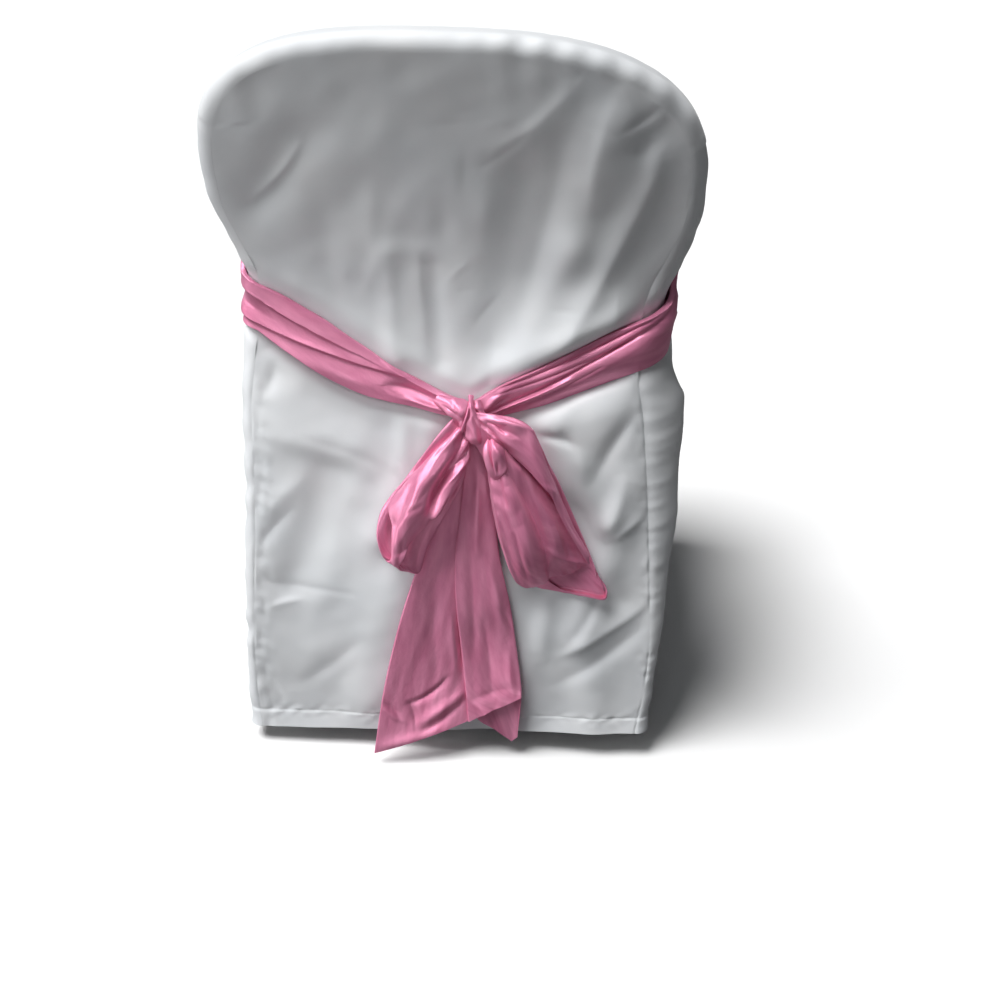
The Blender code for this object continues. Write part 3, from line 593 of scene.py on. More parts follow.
def gusset(name, side):
    """The gusset of the left side, -1, or the right, 1. Its creases are placed by y and height."""
    b_lines = np.concatenate([[0, 0.03, 0.06, 0.1],
                              lines((0.15, END_ROUND, 0.05), (END_ROUND, 1, 0.075)),
                              lines((1.0, 1.96, 0.012), (1.96, 2, 0.010))[1:]])
    c_lines = back_rows[:wedge_row + 1]
    net_b, net_c = np.meshgrid(b_lines, c_lines)
    row, column = np.indices((len(c_lines) - 1, len(b_lines) - 1))
    seat_row = int(np.argmin(abs(c_lines - SEAT)))
    keep = (b_lines[column] < 0.999) | (row < seat_row)
    along = path_length(place(side, b_lines, 0.3))
    panel = lay_panel(name, side + 0 * net_b, net_b, net_c, keep,
                      lambda at: Vector((side, 0, 0)), along[None, :], c_lines[:, None] - HEM)
    b, c = read_points(panel, "net").T[1:]
    x, y, z = read_points(panel, "co").T
    height = z + CHAIR_TOP
    edge = np.minimum(np.clip(b / 0.35, 0, 1), np.clip((2 - b) / 0.06, 0, 1))
    edge = edge * np.where(b > 1, np.clip((SEAT - c) / 0.02, 0, 1), 1)
    near = np.clip((1.05 - b) / 0.3, 0, 1)
    waves = 0.0011 * ripple(y, height, 0.130, 11 + side)
    waves = waves + 0.0003 * near * ripple(y, height, 0.028, 13 + side)
    low, high = band_edges(x)
    creased = 1.4 * crease_relief(GUSSET_CREASES[side], y, height)
    relief = edge * (creased + waves) + pinch(height, low, high)
    lower = 1 - above_sash(height)
    plain = 0.4 if side < 0 else 1
    relief += (0.25 + 0.75 * lower) * plain * seam_relief(b * 0.045, height, 5)
    if side < 0:
        small = lower * near * np.clip(b / 0.05, 0, 1) * edge ** 0.3 * 0.0005
        relief += small * ripple(y * 1.3, height, 0.030, 62, 16)
    relief += hem_relief(np.maximum(c - HEM, 0), y, 15)
    move_out(panel, relief + OUTER_FACE)
    thicken(panel, CLOTH)
    return panel


left_gusset, right_gusset = gusset("left_gusset", -1), gusset("right_gusset", 1)

# %% [markdown]
# ## The inside back, seat and skirt
#
# One length of cloth comes down the inside of the chair's back, goes over the seat and falls to
# the floor. It is smooth where the chair fills it, creases a little where the back meets the
# seat, and falls in soft upright folds in front.

# %% Lay the front length
SKIRT_CREASES = (
    Crease(-0.170, 0.420, -0.180, 0.040, 0.006, 0.0035, 0.020, 0.024, 2.0),
    Crease(-0.100, 0.400, -0.110, 0.030, -0.006, -0.0035, 0.024, 0.022, 2.0),
    Crease(-0.020, 0.420, -0.030, 0.030, 0.008, 0.0032, 0.024, 0.028, 2.0),
    Crease(0.070, 0.400, 0.080, 0.030, -0.006, -0.0034, 0.026, 0.022, 2.0),
    Crease(0.160, 0.420, 0.170, 0.030, 0.006, 0.0036, 0.022, 0.026, 2.0),
    Crease(-0.210, 0.420, -0.120, 0.330, 0.006, 0.0020, 0.010, 0.014, 1.6),
    Crease(0.215, 0.420, 0.130, 0.310, -0.006, 0.0020, 0.012, 0.012, 1.6),
)
SEAT_CREASES = (
    Crease(-0.190, 0.110, -0.020, 0.125, 0.004, -0.0016, 0.012, 0.010, 1.8),
    Crease(0.020, 0.115, 0.180, 0.105, -0.003, -0.0014, 0.010, 0.012, 1.8),
    Crease(-0.200, 0.400, -0.080, 0.250, 0.010, 0.0014, 0.014, 0.016, 1.8),
    Crease(0.200, 0.390, 0.100, 0.240, -0.010, 0.0014, 0.016, 0.014, 1.8),
)
INNER_CREASES = (
    Crease(-0.150, 0.700, -0.080, 0.580, -0.006, 0.0016, 0.018, 0.020, 2.0),
    Crease(0.140, 0.690, 0.060, 0.570, 0.006, -0.0018, 0.020, 0.018, 2.0),
    Crease(-0.020, 0.680, -0.010, 0.580, 0.004, 0.0014, 0.018, 0.018, 2.0),
    Crease(-0.180, 0.480, -0.090, 0.455, 0.003, -0.0014, 0.008, 0.010, 1.6),
    Crease(0.170, 0.482, 0.080, 0.456, -0.003, -0.0014, 0.010, 0.008, 1.6),
)

front_across = np.concatenate([[-1, -0.994, -0.986], lines((-0.975, 0.975, 0.030)),
                               [0.986, 0.994, 1]])
skirt_rows = np.append(back_rows[back_rows < 0.060],
                       lines((0.0625, SEAT - 0.006, 0.0038), (SEAT - 0.006, SEAT, 0.002)))
seat_lines = lines((2.0, 1.98, 0.006), (1.98, 1.03, 0.0105), (1.03, 1.0, 0.01))[1:]
inner_rows = lines((SEAT, SEAT + 0.012, 0.003), (SEAT + 0.012, CHAIR_TOP, 0.0032))[1:]
row_b = np.concatenate([np.full(len(skirt_rows), 2.0), seat_lines, np.full(len(inner_rows), 1.0)])
row_c = np.concatenate([skirt_rows, np.full(len(seat_lines), SEAT), inner_rows])
net_a = np.tile(front_across, (len(row_c), 1))
net_b, net_c = (np.tile(row[:, None], (1, len(front_across))) for row in (row_b, row_c))
front = lay_panel("front_cloth", net_a, net_b, net_c, None, lambda at: Vector((0, 0.7, 0.7)),
                  (front_across * 0.23)[None, :], path_length(place(0, row_b, row_c))[:, None])

a, b, c = read_points(front, "net").T
x, y, z = read_points(front, "co").T
height = z + CHAIR_TOP
edge = np.clip((1 - np.abs(a)) / 0.06, 0, 1)
skirt, seat, inner = b > 1.999, (b <= 1.999) & (b > 1.001), b <= 1.001
below, before, over = (SEAT - height) / 0.03, (2 - b) / 0.1, (height - SEAT) / 0.02
relief = np.where(skirt, crease_relief(SKIRT_CREASES, x, height) * np.clip(below, 0, 1), 0)
relief += np.where(seat, crease_relief(SEAT_CREASES, x, y) * np.clip(before, 0, 1), 0)
relief += np.where(inner, crease_relief(INNER_CREASES, x, height) * np.clip(over, 0, 1), 0)
along = np.where(seat, y, height)
relief += np.where(skirt, 0.0009, 0.0005) * ripple(x, along, 0.080, 21)
relief += 0.0002 * ripple(x, along, 0.027, 22)
relief *= edge
relief += np.where(inner, pinch(height, FRONT_BAND.low, FRONT_BAND.high), 0) * (c < SHOULDER)
relief += np.where(skirt, hem_relief(np.maximum(c - HEM, 0), x, 23), 0)
corner = np.exp(-(np.maximum(np.abs(y - SEAT_FRONT), np.abs(height - SEAT)) / 0.008) ** 2)
move_out(front, relief + OUTER_FACE - 0.0035 * corner)
thicken(front, CLOTH)

# %% [markdown]
# ## Lengths of satin
#
# The sash is one strip 0.15 m wide. Here it is drawn up into folds, so each length of it is laid
# as a grid whose lines run along and across the strip. A table states the two edges at places
# along it, and a table of creases its folds. The edges are turned under, as on a sash that is
# pulled tight, and that hidden cloth is modelled too, because a rounded edge is what shows.

# %% Lay a length of satin
SATIN, SATIN_CORNER = 0.0003, 80
REAR_OUT = 0.0012
TURNED_UNDER = np.linspace(1, 0.06, 8)
AT_THE_TURN = np.array([0, 0.001, 0.003, 0.007, 0.012, 0.020])
Line = namedtuple("Line", "x0 height0 out0 x1 height1 out1 swell under0 under1")


def rear_face(x, height):
    """The outer face of the outside back where nothing draws it in."""
    half = half_width(x, height) - rounding(x, height)
    settled = 1 - np.clip(np.abs(x) / half, 0, 1) ** 12
    return level("rear", height) - broad_relief(x, height) * settled - REAR_OUT


def table_curve(rows, at):
    """Every column of a table on smooth curves through its rows, which are numbered 0, 1, 2."""
    numbers = np.arange(len(rows))
    return {name: smooth_curve(numbers, [getattr(row, name) for row in rows], at)
            for name in rows[0]._fields}


def across_lines(count):
    """Places across a strip, and which of them are hidden and which belong to the first edge.

    The cloth before 0 and after 1 is turned under. The places lie close together at both turns."""
    under = -np.concatenate([TURNED_UNDER, AT_THE_TURN[:0:-1]])
    middle = np.linspace(0.032, 0.968, count)
    places = np.concatenate([under, AT_THE_TURN, middle, 1 - AT_THE_TURN[::-1], 1 - under[::-1]])
    return places, (places < 0) | (places > 1), places < 0.5


def turn_under(places, under0, under1):
    """Places across the part of a strip that shows, the hidden cloth folded back behind it."""
    return np.where(places < 0, -places * under0,
                    np.where(places > 1, 1 - (places - 1) * under1, places))


def turned_edge(distance, hidden, radius):
    """The rounding of a turned edge: how far the face, or the hidden cloth, lies inside."""
    t = np.clip(distance / radius, 0, 1)
    bulge = np.sqrt(1 - (1 - t) ** 2)
    return -radius + radius * np.where(hidden, -bulge, bulge)


def surface_normals(points, over):
    """Normals of a grid of points, turned to look out from the cover."""
    normal = np.cross(np.gradient(points, axis=0), over)
    normal /= np.maximum(np.linalg.norm(normal, axis=-1, keepdims=True), 1e-12)
    return -normal if normal[len(normal) // 12, normal.shape[1] // 2, 1] > 0 else normal


def make_strip(name, points):
    """The strip as a mesh. Its flat places are measured across each row and along the middle."""
    width = np.linalg.norm(points[:, 1:] - points[:, :-1], axis=-1)
    flat_u = np.concatenate([np.zeros((len(width), 1)), np.cumsum(width, 1)], 1)
    flat_u -= flat_u[:, -1:] / 2
    flat_v = path_length(points[:, points.shape[1] // 2])[:, None] + 0 * flat_u
    flat = np.stack([flat_u, flat_v], -1).reshape(-1, 2)
    print(f"{name}: {flat_v.max():.3f} m long, {width.sum(1).mean():.3f} m of cloth across it")
    return make_sheet(name, points.reshape(-1, 3), flat, grid_faces(points.shape[:2]))


def lay_strip(name, rows, creases=(), back_creases=(), *, turn=None, steps=(20, 8), count,
              radius=0.0012, seed, flap=None, drift):
    """A strip of satin through its lines. After the turn it runs back behind itself.

    radius rounds its turned edges, drift is the height of its uneven waves, and flap is how far
    the hidden cloth hangs below a slanting cut, at the edge that shows and at its far side."""
    last = len(rows) - 1
    turn = last if turn is None else turn
    places, hidden, first = across_lines(count)
    along = np.concatenate([np.linspace(0, turn, turn * steps[0] + 1),
                            np.linspace(turn, last, (last - turn) * steps[1] + 1)[1:]])
    row = {key: value[:, None] for key, value in table_curve(rows, along).items()}
    under0, under1 = np.clip(row["under0"], 0.02, 1), np.clip(row["under1"], 0.02, 1)
    share = turn_under(places, under0, under1)
    width = np.hypot(row["x1"] - row["x0"], row["height1"] - row["height0"])
    distance = np.where(first, share, 1 - share) * width
    along = along[:, None] + 0 * share

    def surface(share):
        x = row["x0"] + (row["x1"] - row["x0"]) * share
        height = row["height0"] + (row["height1"] - row["height0"]) * share
        out = row["out0"] + (row["out1"] - row["out0"]) * share
        out = out + row["swell"] * 4 * share * (1 - share)
        return np.stack([x, rear_face(x, np.maximum(height, HEM)) - out, height - CHAIR_TOP], -1)

    points = surface(share)
    normal = surface_normals(points, surface(share + 0.01) - surface(share - 0.01))
    x, height = points[..., 0], points[..., 2] + CHAIR_TOP
    front_weight = np.clip((turn - along) / 0.3, 0, 1) if turn < last else 1
    back_weight = np.clip((along - turn) / 0.6, 0, 1)
    relief = crease_relief(creases, x, height) * front_weight
    relief = relief + crease_relief(back_creases, x, height) * back_weight
    relief = relief + drift * ripple(share * width, along * 0.009, 0.015, seed, 20)
    points = points + normal * (relief + turned_edge(distance, hidden, radius))[..., None]
    if flap:
        near, far = flap
        reach = np.where(hidden & ~first, np.clip((1 - share) * width / 0.004, 0, 1), 0)
        late = np.clip(along - (last - 1.4), 0, 1.4) / 1.4
        points[..., 2] -= reach * (near + (far - near) * (1 - share) / under1) * late ** 1.6
        points[..., 1] += 0.0015 * reach * late
    return make_strip(name, points)


# %% [markdown]
# ## The bow's loops
#
# Each loop leaves the knot, hangs, turns and runs back up behind itself. The front of the left
# loop is a full, bright pillow with a deep fold inside its lower rim. The right loop has a round
# pocket low down, a sunken panel beside it, and a long slit under its upper strip. Behind it the
# strip's hemmed edge shows, down to a point.

# %% Lay the left loop
LEFT_LOOP = (
    Line(0.010, 0.408, 0.020, 0.022, 0.382, 0.020, 0.000, 0.60, 0.60),
    Line(0.000, 0.398, 0.021, 0.021, 0.364, 0.023, 0.005, 0.60, 0.60),
    Line(-0.020, 0.373, 0.019, 0.015, 0.346, 0.029, 0.009, 0.60, 0.60),
    Line(-0.037, 0.350, 0.017, 0.004, 0.327, 0.033, 0.012, 0.60, 0.60),
    Line(-0.050, 0.327, 0.016, -0.009, 0.308, 0.036, 0.013, 0.60, 0.60),
    Line(-0.060, 0.307, 0.015, -0.026, 0.285, 0.036, 0.011, 0.60, 0.60),
    Line(-0.057, 0.285, 0.020, -0.041, 0.262, 0.034, 0.008, 0.60, 0.60),
    Line(-0.058, 0.251, 0.024, -0.049, 0.241, 0.027, 0.003, 0.60, 0.60),
    Line(-0.066, 0.250, 0.020, -0.043, 0.233, 0.018, 0.001, 0.50, 0.50),
    Line(-0.073, 0.272, 0.017, -0.030, 0.229, 0.012, 0.000, 0.45, 0.50),
    Line(-0.070, 0.294, 0.010, -0.021, 0.256, 0.011, 0.000, 0.45, 0.55),
    Line(-0.060, 0.311, 0.006, -0.007, 0.287, 0.013, 0.000, 0.50, 0.58),
    Line(-0.045, 0.331, 0.006, 0.005, 0.312, 0.015, 0.000, 0.58, 0.58),
    Line(-0.028, 0.356, 0.007, 0.015, 0.335, 0.016, 0.000, 0.58, 0.58),
    Line(-0.008, 0.381, 0.010, 0.020, 0.361, 0.016, 0.000, 0.58, 0.58),
    Line(0.008, 0.402, 0.014, 0.021, 0.380, 0.015, 0.000, 0.58, 0.58),
)
LEFT_LOOP_CREASES = (
    Crease(0.014, 0.398, -0.050, 0.328, -0.004, -0.0080, 0.0020, 0.0034, 1.2),
    Crease(0.008, 0.402, -0.050, 0.338, -0.004, 0.0020, 0.0030, 0.0030, 1.8),
    Crease(0.003, 0.402, 0.013, 0.394, 0.000, -0.0030, 0.0016, 0.0020, 1.4),
    Crease(0.018, 0.368, -0.016, 0.298, -0.008, -0.0090, 0.0026, 0.0070, 1.3),
    Crease(-0.014, 0.304, -0.046, 0.262, 0.004, -0.0060, 0.0026, 0.0060, 1.4),
    Crease(0.020, 0.364, -0.050, 0.244, 0.001, 0.0035, 0.0030, 0.0034, 1.6),
    Crease(0.002, 0.388, -0.040, 0.300, 0.000, 0.0060, 0.0110, 0.0110, 2.0),
    Crease(0.017, 0.388, -0.004, 0.350, 0.003, -0.0035, 0.0022, 0.0040, 1.4),
    Crease(0.010, 0.390, -0.010, 0.366, -0.002, -0.0022, 0.0022, 0.0030, 1.4),
    Crease(0.013, 0.392, -0.016, 0.352, -0.003, 0.0020, 0.0024, 0.0030, 1.6),
    Crease(0.020, 0.384, 0.004, 0.352, 0.002, 0.0028, 0.0022, 0.0030, 1.6),
    Crease(0.003, 0.352, -0.016, 0.318, -0.003, -0.0040, 0.0030, 0.0060, 1.5),
    Crease(0.018, 0.360, 0.002, 0.342, 0.000, 0.0020, 0.0010, 0.0012, 1.5),
    Crease(0.012, 0.342, 0.001, 0.326, 0.000, 0.0018, 0.0010, 0.0012, 1.5),
    Crease(-0.012, 0.350, -0.030, 0.322, 0.002, -0.0020, 0.0034, 0.0044, 1.7),
    Crease(-0.026, 0.330, -0.048, 0.300, 0.002, 0.0018, 0.0040, 0.0040, 1.7),
    Crease(-0.024, 0.320, -0.056, 0.286, -0.004, -0.0022, 0.0030, 0.0044, 1.6),
    Crease(-0.030, 0.306, -0.050, 0.268, -0.002, 0.0020, 0.0040, 0.0050, 1.7),
)
LEFT_LOOP_BACK_CREASES = (
    Crease(0.017, 0.345, -0.014, 0.268, -0.004, 0.0020, 0.0030, 0.0040, 1.6),
    Crease(-0.060, 0.300, -0.062, 0.256, 0.002, 0.0018, 0.0035, 0.0035, 1.7),
)
left_loop = lay_strip("left_loop", LEFT_LOOP, LEFT_LOOP_CREASES, LEFT_LOOP_BACK_CREASES,
                      turn=7, steps=(20, 7), count=66, radius=0.0016, seed=31, drift=0.0007)

# %% Lay the right loop
RIGHT_LOOP = (
    Line(0.026, 0.410, 0.0220, 0.026, 0.378, 0.0220, 0.000, 0.45, 0.45),
    Line(0.046, 0.410, 0.0250, 0.040, 0.352, 0.0230, 0.006, 0.45, 0.45),
    Line(0.067, 0.408, 0.0280, 0.047, 0.311, 0.0255, 0.011, 0.45, 0.45),
    Line(0.083, 0.398, 0.0260, 0.053, 0.282, 0.0260, 0.015, 0.45, 0.45),
    Line(0.093, 0.381, 0.0230, 0.060, 0.258, 0.0250, 0.016, 0.45, 0.45),
    Line(0.102, 0.361, 0.0205, 0.070, 0.234, 0.0220, 0.017, 0.45, 0.45),
    Line(0.112, 0.338, 0.0180, 0.083, 0.217, 0.0185, 0.017, 0.45, 0.45),
    Line(0.122, 0.316, 0.0155, 0.100, 0.220, 0.0155, 0.015, 0.45, 0.45),
    Line(0.132, 0.294, 0.0130, 0.115, 0.228, 0.0120, 0.009, 0.30, 0.30),
    Line(0.142, 0.272, 0.0105, 0.132, 0.232, 0.0100, 0.005, 0.20, 0.15),
    Line(0.152, 0.250, 0.0085, 0.150, 0.240, 0.0080, 0.001, 0.20, 0.20),
    Line(0.158, 0.237, 0.008, 0.169, 0.209, 0.008, 0.001, 0.10, 0.10),
    Line(0.147, 0.261, 0.006, 0.150, 0.206, 0.004, 0.000, 0.08, 0.06),
    Line(0.131, 0.296, 0.006, 0.120, 0.208, 0.004, 0.000, 0.08, 0.05),
    Line(0.111, 0.338, 0.006, 0.085, 0.214, 0.004, 0.000, 0.30, 0.20),
    Line(0.089, 0.372, 0.007, 0.062, 0.255, 0.010, 0.000, 0.30, 0.20),
    Line(0.066, 0.388, 0.009, 0.048, 0.310, 0.014, 0.000, 0.30, 0.20),
    Line(0.045, 0.398, 0.013, 0.040, 0.350, 0.016, 0.000, 0.40, 0.40),
    Line(0.027, 0.404, 0.015, 0.027, 0.382, 0.016, 0.000, 0.45, 0.45),
)
RIGHT_LOOP_CREASES = (
    Crease(0.056, 0.380, 0.151, 0.246, 0.012, -0.0045, 0.0120, 0.0110, 1.9),
    Crease(0.058, 0.378, 0.152, 0.248, 0.012, -0.0055, 0.0014, 0.0028, 1.2),
    Crease(0.072, 0.300, 0.081, 0.240, 0.004, 0.0055, 0.0110, 0.0100, 2.0),
    Crease(0.056, 0.362, 0.109, 0.226, 0.010, -0.0085, 0.0080, 0.0028, 1.5),
    Crease(0.080, 0.346, 0.134, 0.240, 0.012, -0.0050, 0.0110, 0.0110, 2.2),
    Crease(0.056, 0.340, 0.088, 0.226, 0.002, 0.0080, 0.0140, 0.0130, 2.0),
    Crease(0.055, 0.310, 0.078, 0.218, -0.003, 0.0035, 0.0024, 0.0034, 1.6),
    Crease(0.066, 0.310, 0.086, 0.232, 0.001, -0.0045, 0.0040, 0.0040, 1.6),
    Crease(0.076, 0.312, 0.098, 0.240, 0.002, 0.0030, 0.0040, 0.0040, 1.7),
    Crease(0.030, 0.404, 0.086, 0.394, 0.004, 0.0040, 0.0040, 0.0050, 1.7),
    Crease(0.030, 0.401, 0.080, 0.380, 0.002, -0.0045, 0.0034, 0.0050, 1.6),
    Crease(0.030, 0.397, 0.068, 0.372, 0.002, 0.0030, 0.0034, 0.0044, 1.7),
    Crease(0.032, 0.404, 0.042, 0.390, 0.002, 0.0030, 0.0020, 0.0020, 1.6),
    Crease(0.036, 0.392, 0.054, 0.350, 0.002, -0.0030, 0.0024, 0.0040, 1.5),
    Crease(0.046, 0.386, 0.064, 0.352, 0.001, 0.0026, 0.0030, 0.0036, 1.6),
    Crease(0.042, 0.360, 0.056, 0.296, 0.001, 0.0026, 0.0024, 0.0036, 1.6),
    Crease(0.048, 0.362, 0.066, 0.300, 0.001, -0.0030, 0.0024, 0.0036, 1.6),
    Crease(0.096, 0.322, 0.124, 0.250, 0.006, 0.0024, 0.0034, 0.0036, 1.6),
    Crease(0.072, 0.396, 0.112, 0.336, 0.004, 0.0018, 0.0050, 0.0050, 1.8),
    Crease(0.048, 0.388, 0.100, 0.346, 0.006, -0.0060, 0.0110, 0.0120, 2.0),
    Crease(0.108, 0.268, 0.146, 0.246, -0.004, 0.0024, 0.0030, 0.0040, 1.6),
)
RIGHT_LOOP_BACK_CREASES = (
    Crease(0.082, 0.2170, 0.168, 0.2115, -0.001, 0.0007, 0.0006, 0.0006, 1.5),
    Crease(0.100, 0.2320, 0.160, 0.2240, 0.002, -0.0010, 0.0050, 0.0040, 1.7),
)
right_loop = lay_strip("right_loop", RIGHT_LOOP, RIGHT_LOOP_CREASES, RIGHT_LOOP_BACK_CREASES,
                       turn=10, steps=(17, 6), count=84, radius=0.0014, seed=32, drift=0.0003)

# %% [markdown]
# ## The free ends
#
# The ends hang from behind the knot. The left one spreads to its full width at the hem, and the
# right one lies over it, folded along its length, with its back layer showing below its cut.

# %% Lay the free ends
LEFT_TAIL = (
    Line(0.008, 0.388, 0.004, 0.027, 0.388, 0.003, 0.000, 0.45, 0.45),
    Line(0.001, 0.345, 0.004, 0.033, 0.345, 0.002, 0.001, 0.45, 0.45),
    Line(-0.013, 0.295, 0.004, 0.035, 0.297, 0.003, 0.000, 0.45, 0.45),
    Line(-0.029, 0.240, 0.004, 0.037, 0.244, 0.004, 0.000, 0.40, 0.40),
    Line(-0.045, 0.188, 0.011, 0.036, 0.194, 0.004, 0.000, 0.30, 0.30),
    Line(-0.058, 0.135, 0.015, 0.034, 0.142, 0.005, 0.001, 0.22, 0.22),
    Line(-0.068, 0.083, 0.022, 0.033, 0.098, 0.009, 0.001, 0.22, 0.22),
    Line(-0.077, 0.015, 0.032, 0.034, 0.053, 0.016, 0.002, 0.22, 0.22),
)
LEFT_TAIL_CREASES = (
    Crease(-0.010, 0.240, -0.010, 0.105, -0.004, -0.0020, 0.0080, 0.0080, 1.8),
    Crease(-0.034, 0.205, -0.046, 0.110, 0.002, 0.0012, 0.0100, 0.0080, 1.8),
    Crease(0.000, 0.101, -0.041, 0.074, 0.004, -0.0035, 0.0040, 0.0016, 1.3),
    Crease(-0.040, 0.074, -0.032, 0.044, 0.003, -0.0025, 0.0030, 0.0030, 1.5),
    Crease(0.024, 0.088, -0.034, 0.046, 0.002, 0.0030, 0.0060, 0.0060, 1.8),
    Crease(0.020, 0.074, -0.026, 0.040, 0.002, -0.0024, 0.0040, 0.0050, 1.6),
    Crease(-0.070, 0.022, 0.002, 0.044, 0.000, 0.0030, 0.0070, 0.0060, 1.8),
    Crease(-0.068, 0.078, -0.050, 0.060, 0.001, -0.0018, 0.0025, 0.0025, 1.6),
    Crease(-0.068, 0.070, -0.054, 0.056, 0.001, 0.0014, 0.0025, 0.0025, 1.6),
    Crease(0.014, 0.210, 0.018, 0.100, 0.000, -0.0022, 0.0030, 0.0040, 1.6),
    Crease(0.004, 0.180, 0.010, 0.112, 0.000, 0.0014, 0.0040, 0.0040, 1.7),
    Crease(-0.060, 0.062, -0.040, 0.050, 0.000, 0.0010, 0.0020, 0.0020, 1.6),
)
left_tail = lay_strip("left_tail", LEFT_TAIL, LEFT_TAIL_CREASES,
                      steps=(26, 8), count=66, seed=33, drift=0.00015)
RIGHT_TAIL = (
    Line(0.012, 0.386, 0.006, 0.032, 0.386, 0.006, 0.000, 0.60, 0.60),
    Line(0.015, 0.340, 0.007, 0.043, 0.345, 0.007, 0.001, 0.60, 0.60),
    Line(0.012, 0.295, 0.010, 0.049, 0.295, 0.009, 0.002, 0.60, 0.60),
    Line(0.008, 0.244, 0.011, 0.055, 0.246, 0.009, 0.002, 0.60, 0.60),
    Line(0.010, 0.190, 0.011, 0.067, 0.193, 0.009, 0.002, 0.62, 0.62),
    Line(0.016, 0.138, 0.011, 0.076, 0.138, 0.009, 0.002, 0.62, 0.62),
    Line(0.021, 0.096, 0.016, 0.082, 0.100, 0.016, 0.002, 0.62, 0.70),
    Line(0.026, 0.051, 0.021, 0.083, 0.085, 0.020, 0.002, 0.62, 0.84),
)
RIGHT_TAIL_CREASES = (
    Crease(0.024, 0.270, 0.030, 0.130, 0.001, -0.0022, 0.0060, 0.0060, 1.8),
    Crease(0.044, 0.240, 0.064, 0.160, 0.000, 0.0022, 0.0050, 0.0060, 1.8),
    Crease(0.056, 0.190, 0.072, 0.160, 0.000, -0.0022, 0.0040, 0.0030, 1.6),
    Crease(0.040, 0.170, 0.052, 0.075, 0.001, -0.0018, 0.0060, 0.0060, 1.8),
    Crease(0.030, 0.340, 0.030, 0.250, 0.000, 0.0018, 0.0040, 0.0040, 1.8),
    Crease(0.068, 0.140, 0.072, 0.086, 0.000, 0.0015, 0.0050, 0.0050, 1.8),
    Crease(0.030, 0.078, 0.072, 0.096, 0.000, -0.0010, 0.0050, 0.0050, 1.8),
    Crease(0.036, 0.070, 0.066, 0.022, 0.002, 0.0030, 0.0040, 0.0040, 1.6),
    Crease(0.048, 0.070, 0.076, 0.026, 0.001, -0.0020, 0.0040, 0.0040, 1.6),
)
right_tail = lay_strip("right_tail", RIGHT_TAIL, RIGHT_TAIL_CREASES,
                       steps=(26, 8), count=66, seed=34, flap=(0.070, 0.004), drift=0.00015)

# %% [markdown]
# ## The sash round the waist
#
# From the knot the strip goes left, round the chair, across the inside back and round the right
# side to the knot again. On the left its folds lie like shingles that catch the light, and on
# the right they lean the other way, so that side is darker. Its creases are placed by height and
# by x, which runs on round the corners as if the band were rolled out flat.

# %% Lay the waistband
KNOT_X, KNOT_REACH = 0.024, 0.190
BAND_SEAT, BAND_CLEAR = 0.0009, 0.0008
BAND_CREASES = (
    Crease(-0.232, 0.538, -0.098, 0.458, -0.004, 0.0050, 0.0150, 0.0009, 1.0),
    Crease(-0.232, 0.503, -0.050, 0.436, -0.006, 0.0055, 0.0170, 0.0009, 1.0),
    Crease(-0.200, 0.500, -0.080, 0.446, -0.004, -0.0015, 0.0060, 0.0060, 1.8),
    Crease(-0.190, 0.470, -0.050, 0.420, -0.006, 0.0018, 0.0080, 0.0080, 1.9),
    Crease(-0.062, 0.426, -0.012, 0.412, 0.003, -0.0055, 0.0040, 0.0060, 1.5),
    Crease(-0.070, 0.452, -0.004, 0.420, -0.002, -0.0030, 0.0014, 0.0018, 1.4),
    Crease(-0.060, 0.443, -0.006, 0.416, -0.001, 0.0022, 0.0016, 0.0020, 1.5),
    Crease(-0.044, 0.414, -0.006, 0.404, 0.000, 0.0025, 0.0025, 0.0025, 1.6),
    Crease(-0.216, 0.508, -0.190, 0.494, 0.000, -0.0030, 0.0080, 0.0080, 2.0),
    Crease(0.048, 0.427, 0.236, 0.530, -0.008, -0.0026, 0.0012, 0.0022, 1.3),
    Crease(0.046, 0.421, 0.200, 0.494, -0.006, -0.0022, 0.0012, 0.0020, 1.3),
    Crease(0.034, 0.4010, 0.240, 0.531, -0.010, -0.0036, 0.0012, 0.0024, 1.3),
    Crease(0.060, 0.406, 0.240, 0.520, -0.012, 0.0030, 0.0060, 0.0140, 1.8),
    Crease(0.034, 0.3990, 0.120, 0.4385, -0.002, 0.0034, 0.0018, 0.0026, 1.5),
    Crease(0.044, 0.3985, 0.150, 0.4520, -0.003, -0.0028, 0.0012, 0.0020, 1.3),
    Crease(0.034, 0.404, 0.054, 0.424, 0.001, 0.0040, 0.0040, 0.0060, 1.8),
    Crease(0.042, 0.408, 0.056, 0.419, 0.000, -0.0030, 0.0014, 0.0030, 1.5),
    Crease(-0.420, 0.545, -0.215, 0.530, 0.000, 0.0026, 0.0120, 0.0010, 1.1),
    Crease(-0.420, 0.518, -0.215, 0.496, 0.000, 0.0026, 0.0120, 0.0010, 1.1),
    Crease(-0.760, 0.540, -0.380, 0.538, 0.000, 0.0020, 0.0100, 0.0010, 1.1),
    Crease(-0.760, 0.515, -0.380, 0.512, 0.000, 0.0020, 0.0100, 0.0010, 1.1),
    Crease(0.216, 0.516, 0.420, 0.540, 0.000, 0.0026, 0.0010, 0.0120, 1.1),
    Crease(0.216, 0.500, 0.420, 0.516, 0.000, 0.0026, 0.0010, 0.0120, 1.1),
    Crease(0.380, 0.538, 0.760, 0.540, 0.000, 0.0020, 0.0100, 0.0010, 1.1),
    Crease(0.380, 0.512, 0.760, 0.515, 0.000, 0.0020, 0.0100, 0.0010, 1.1),
)


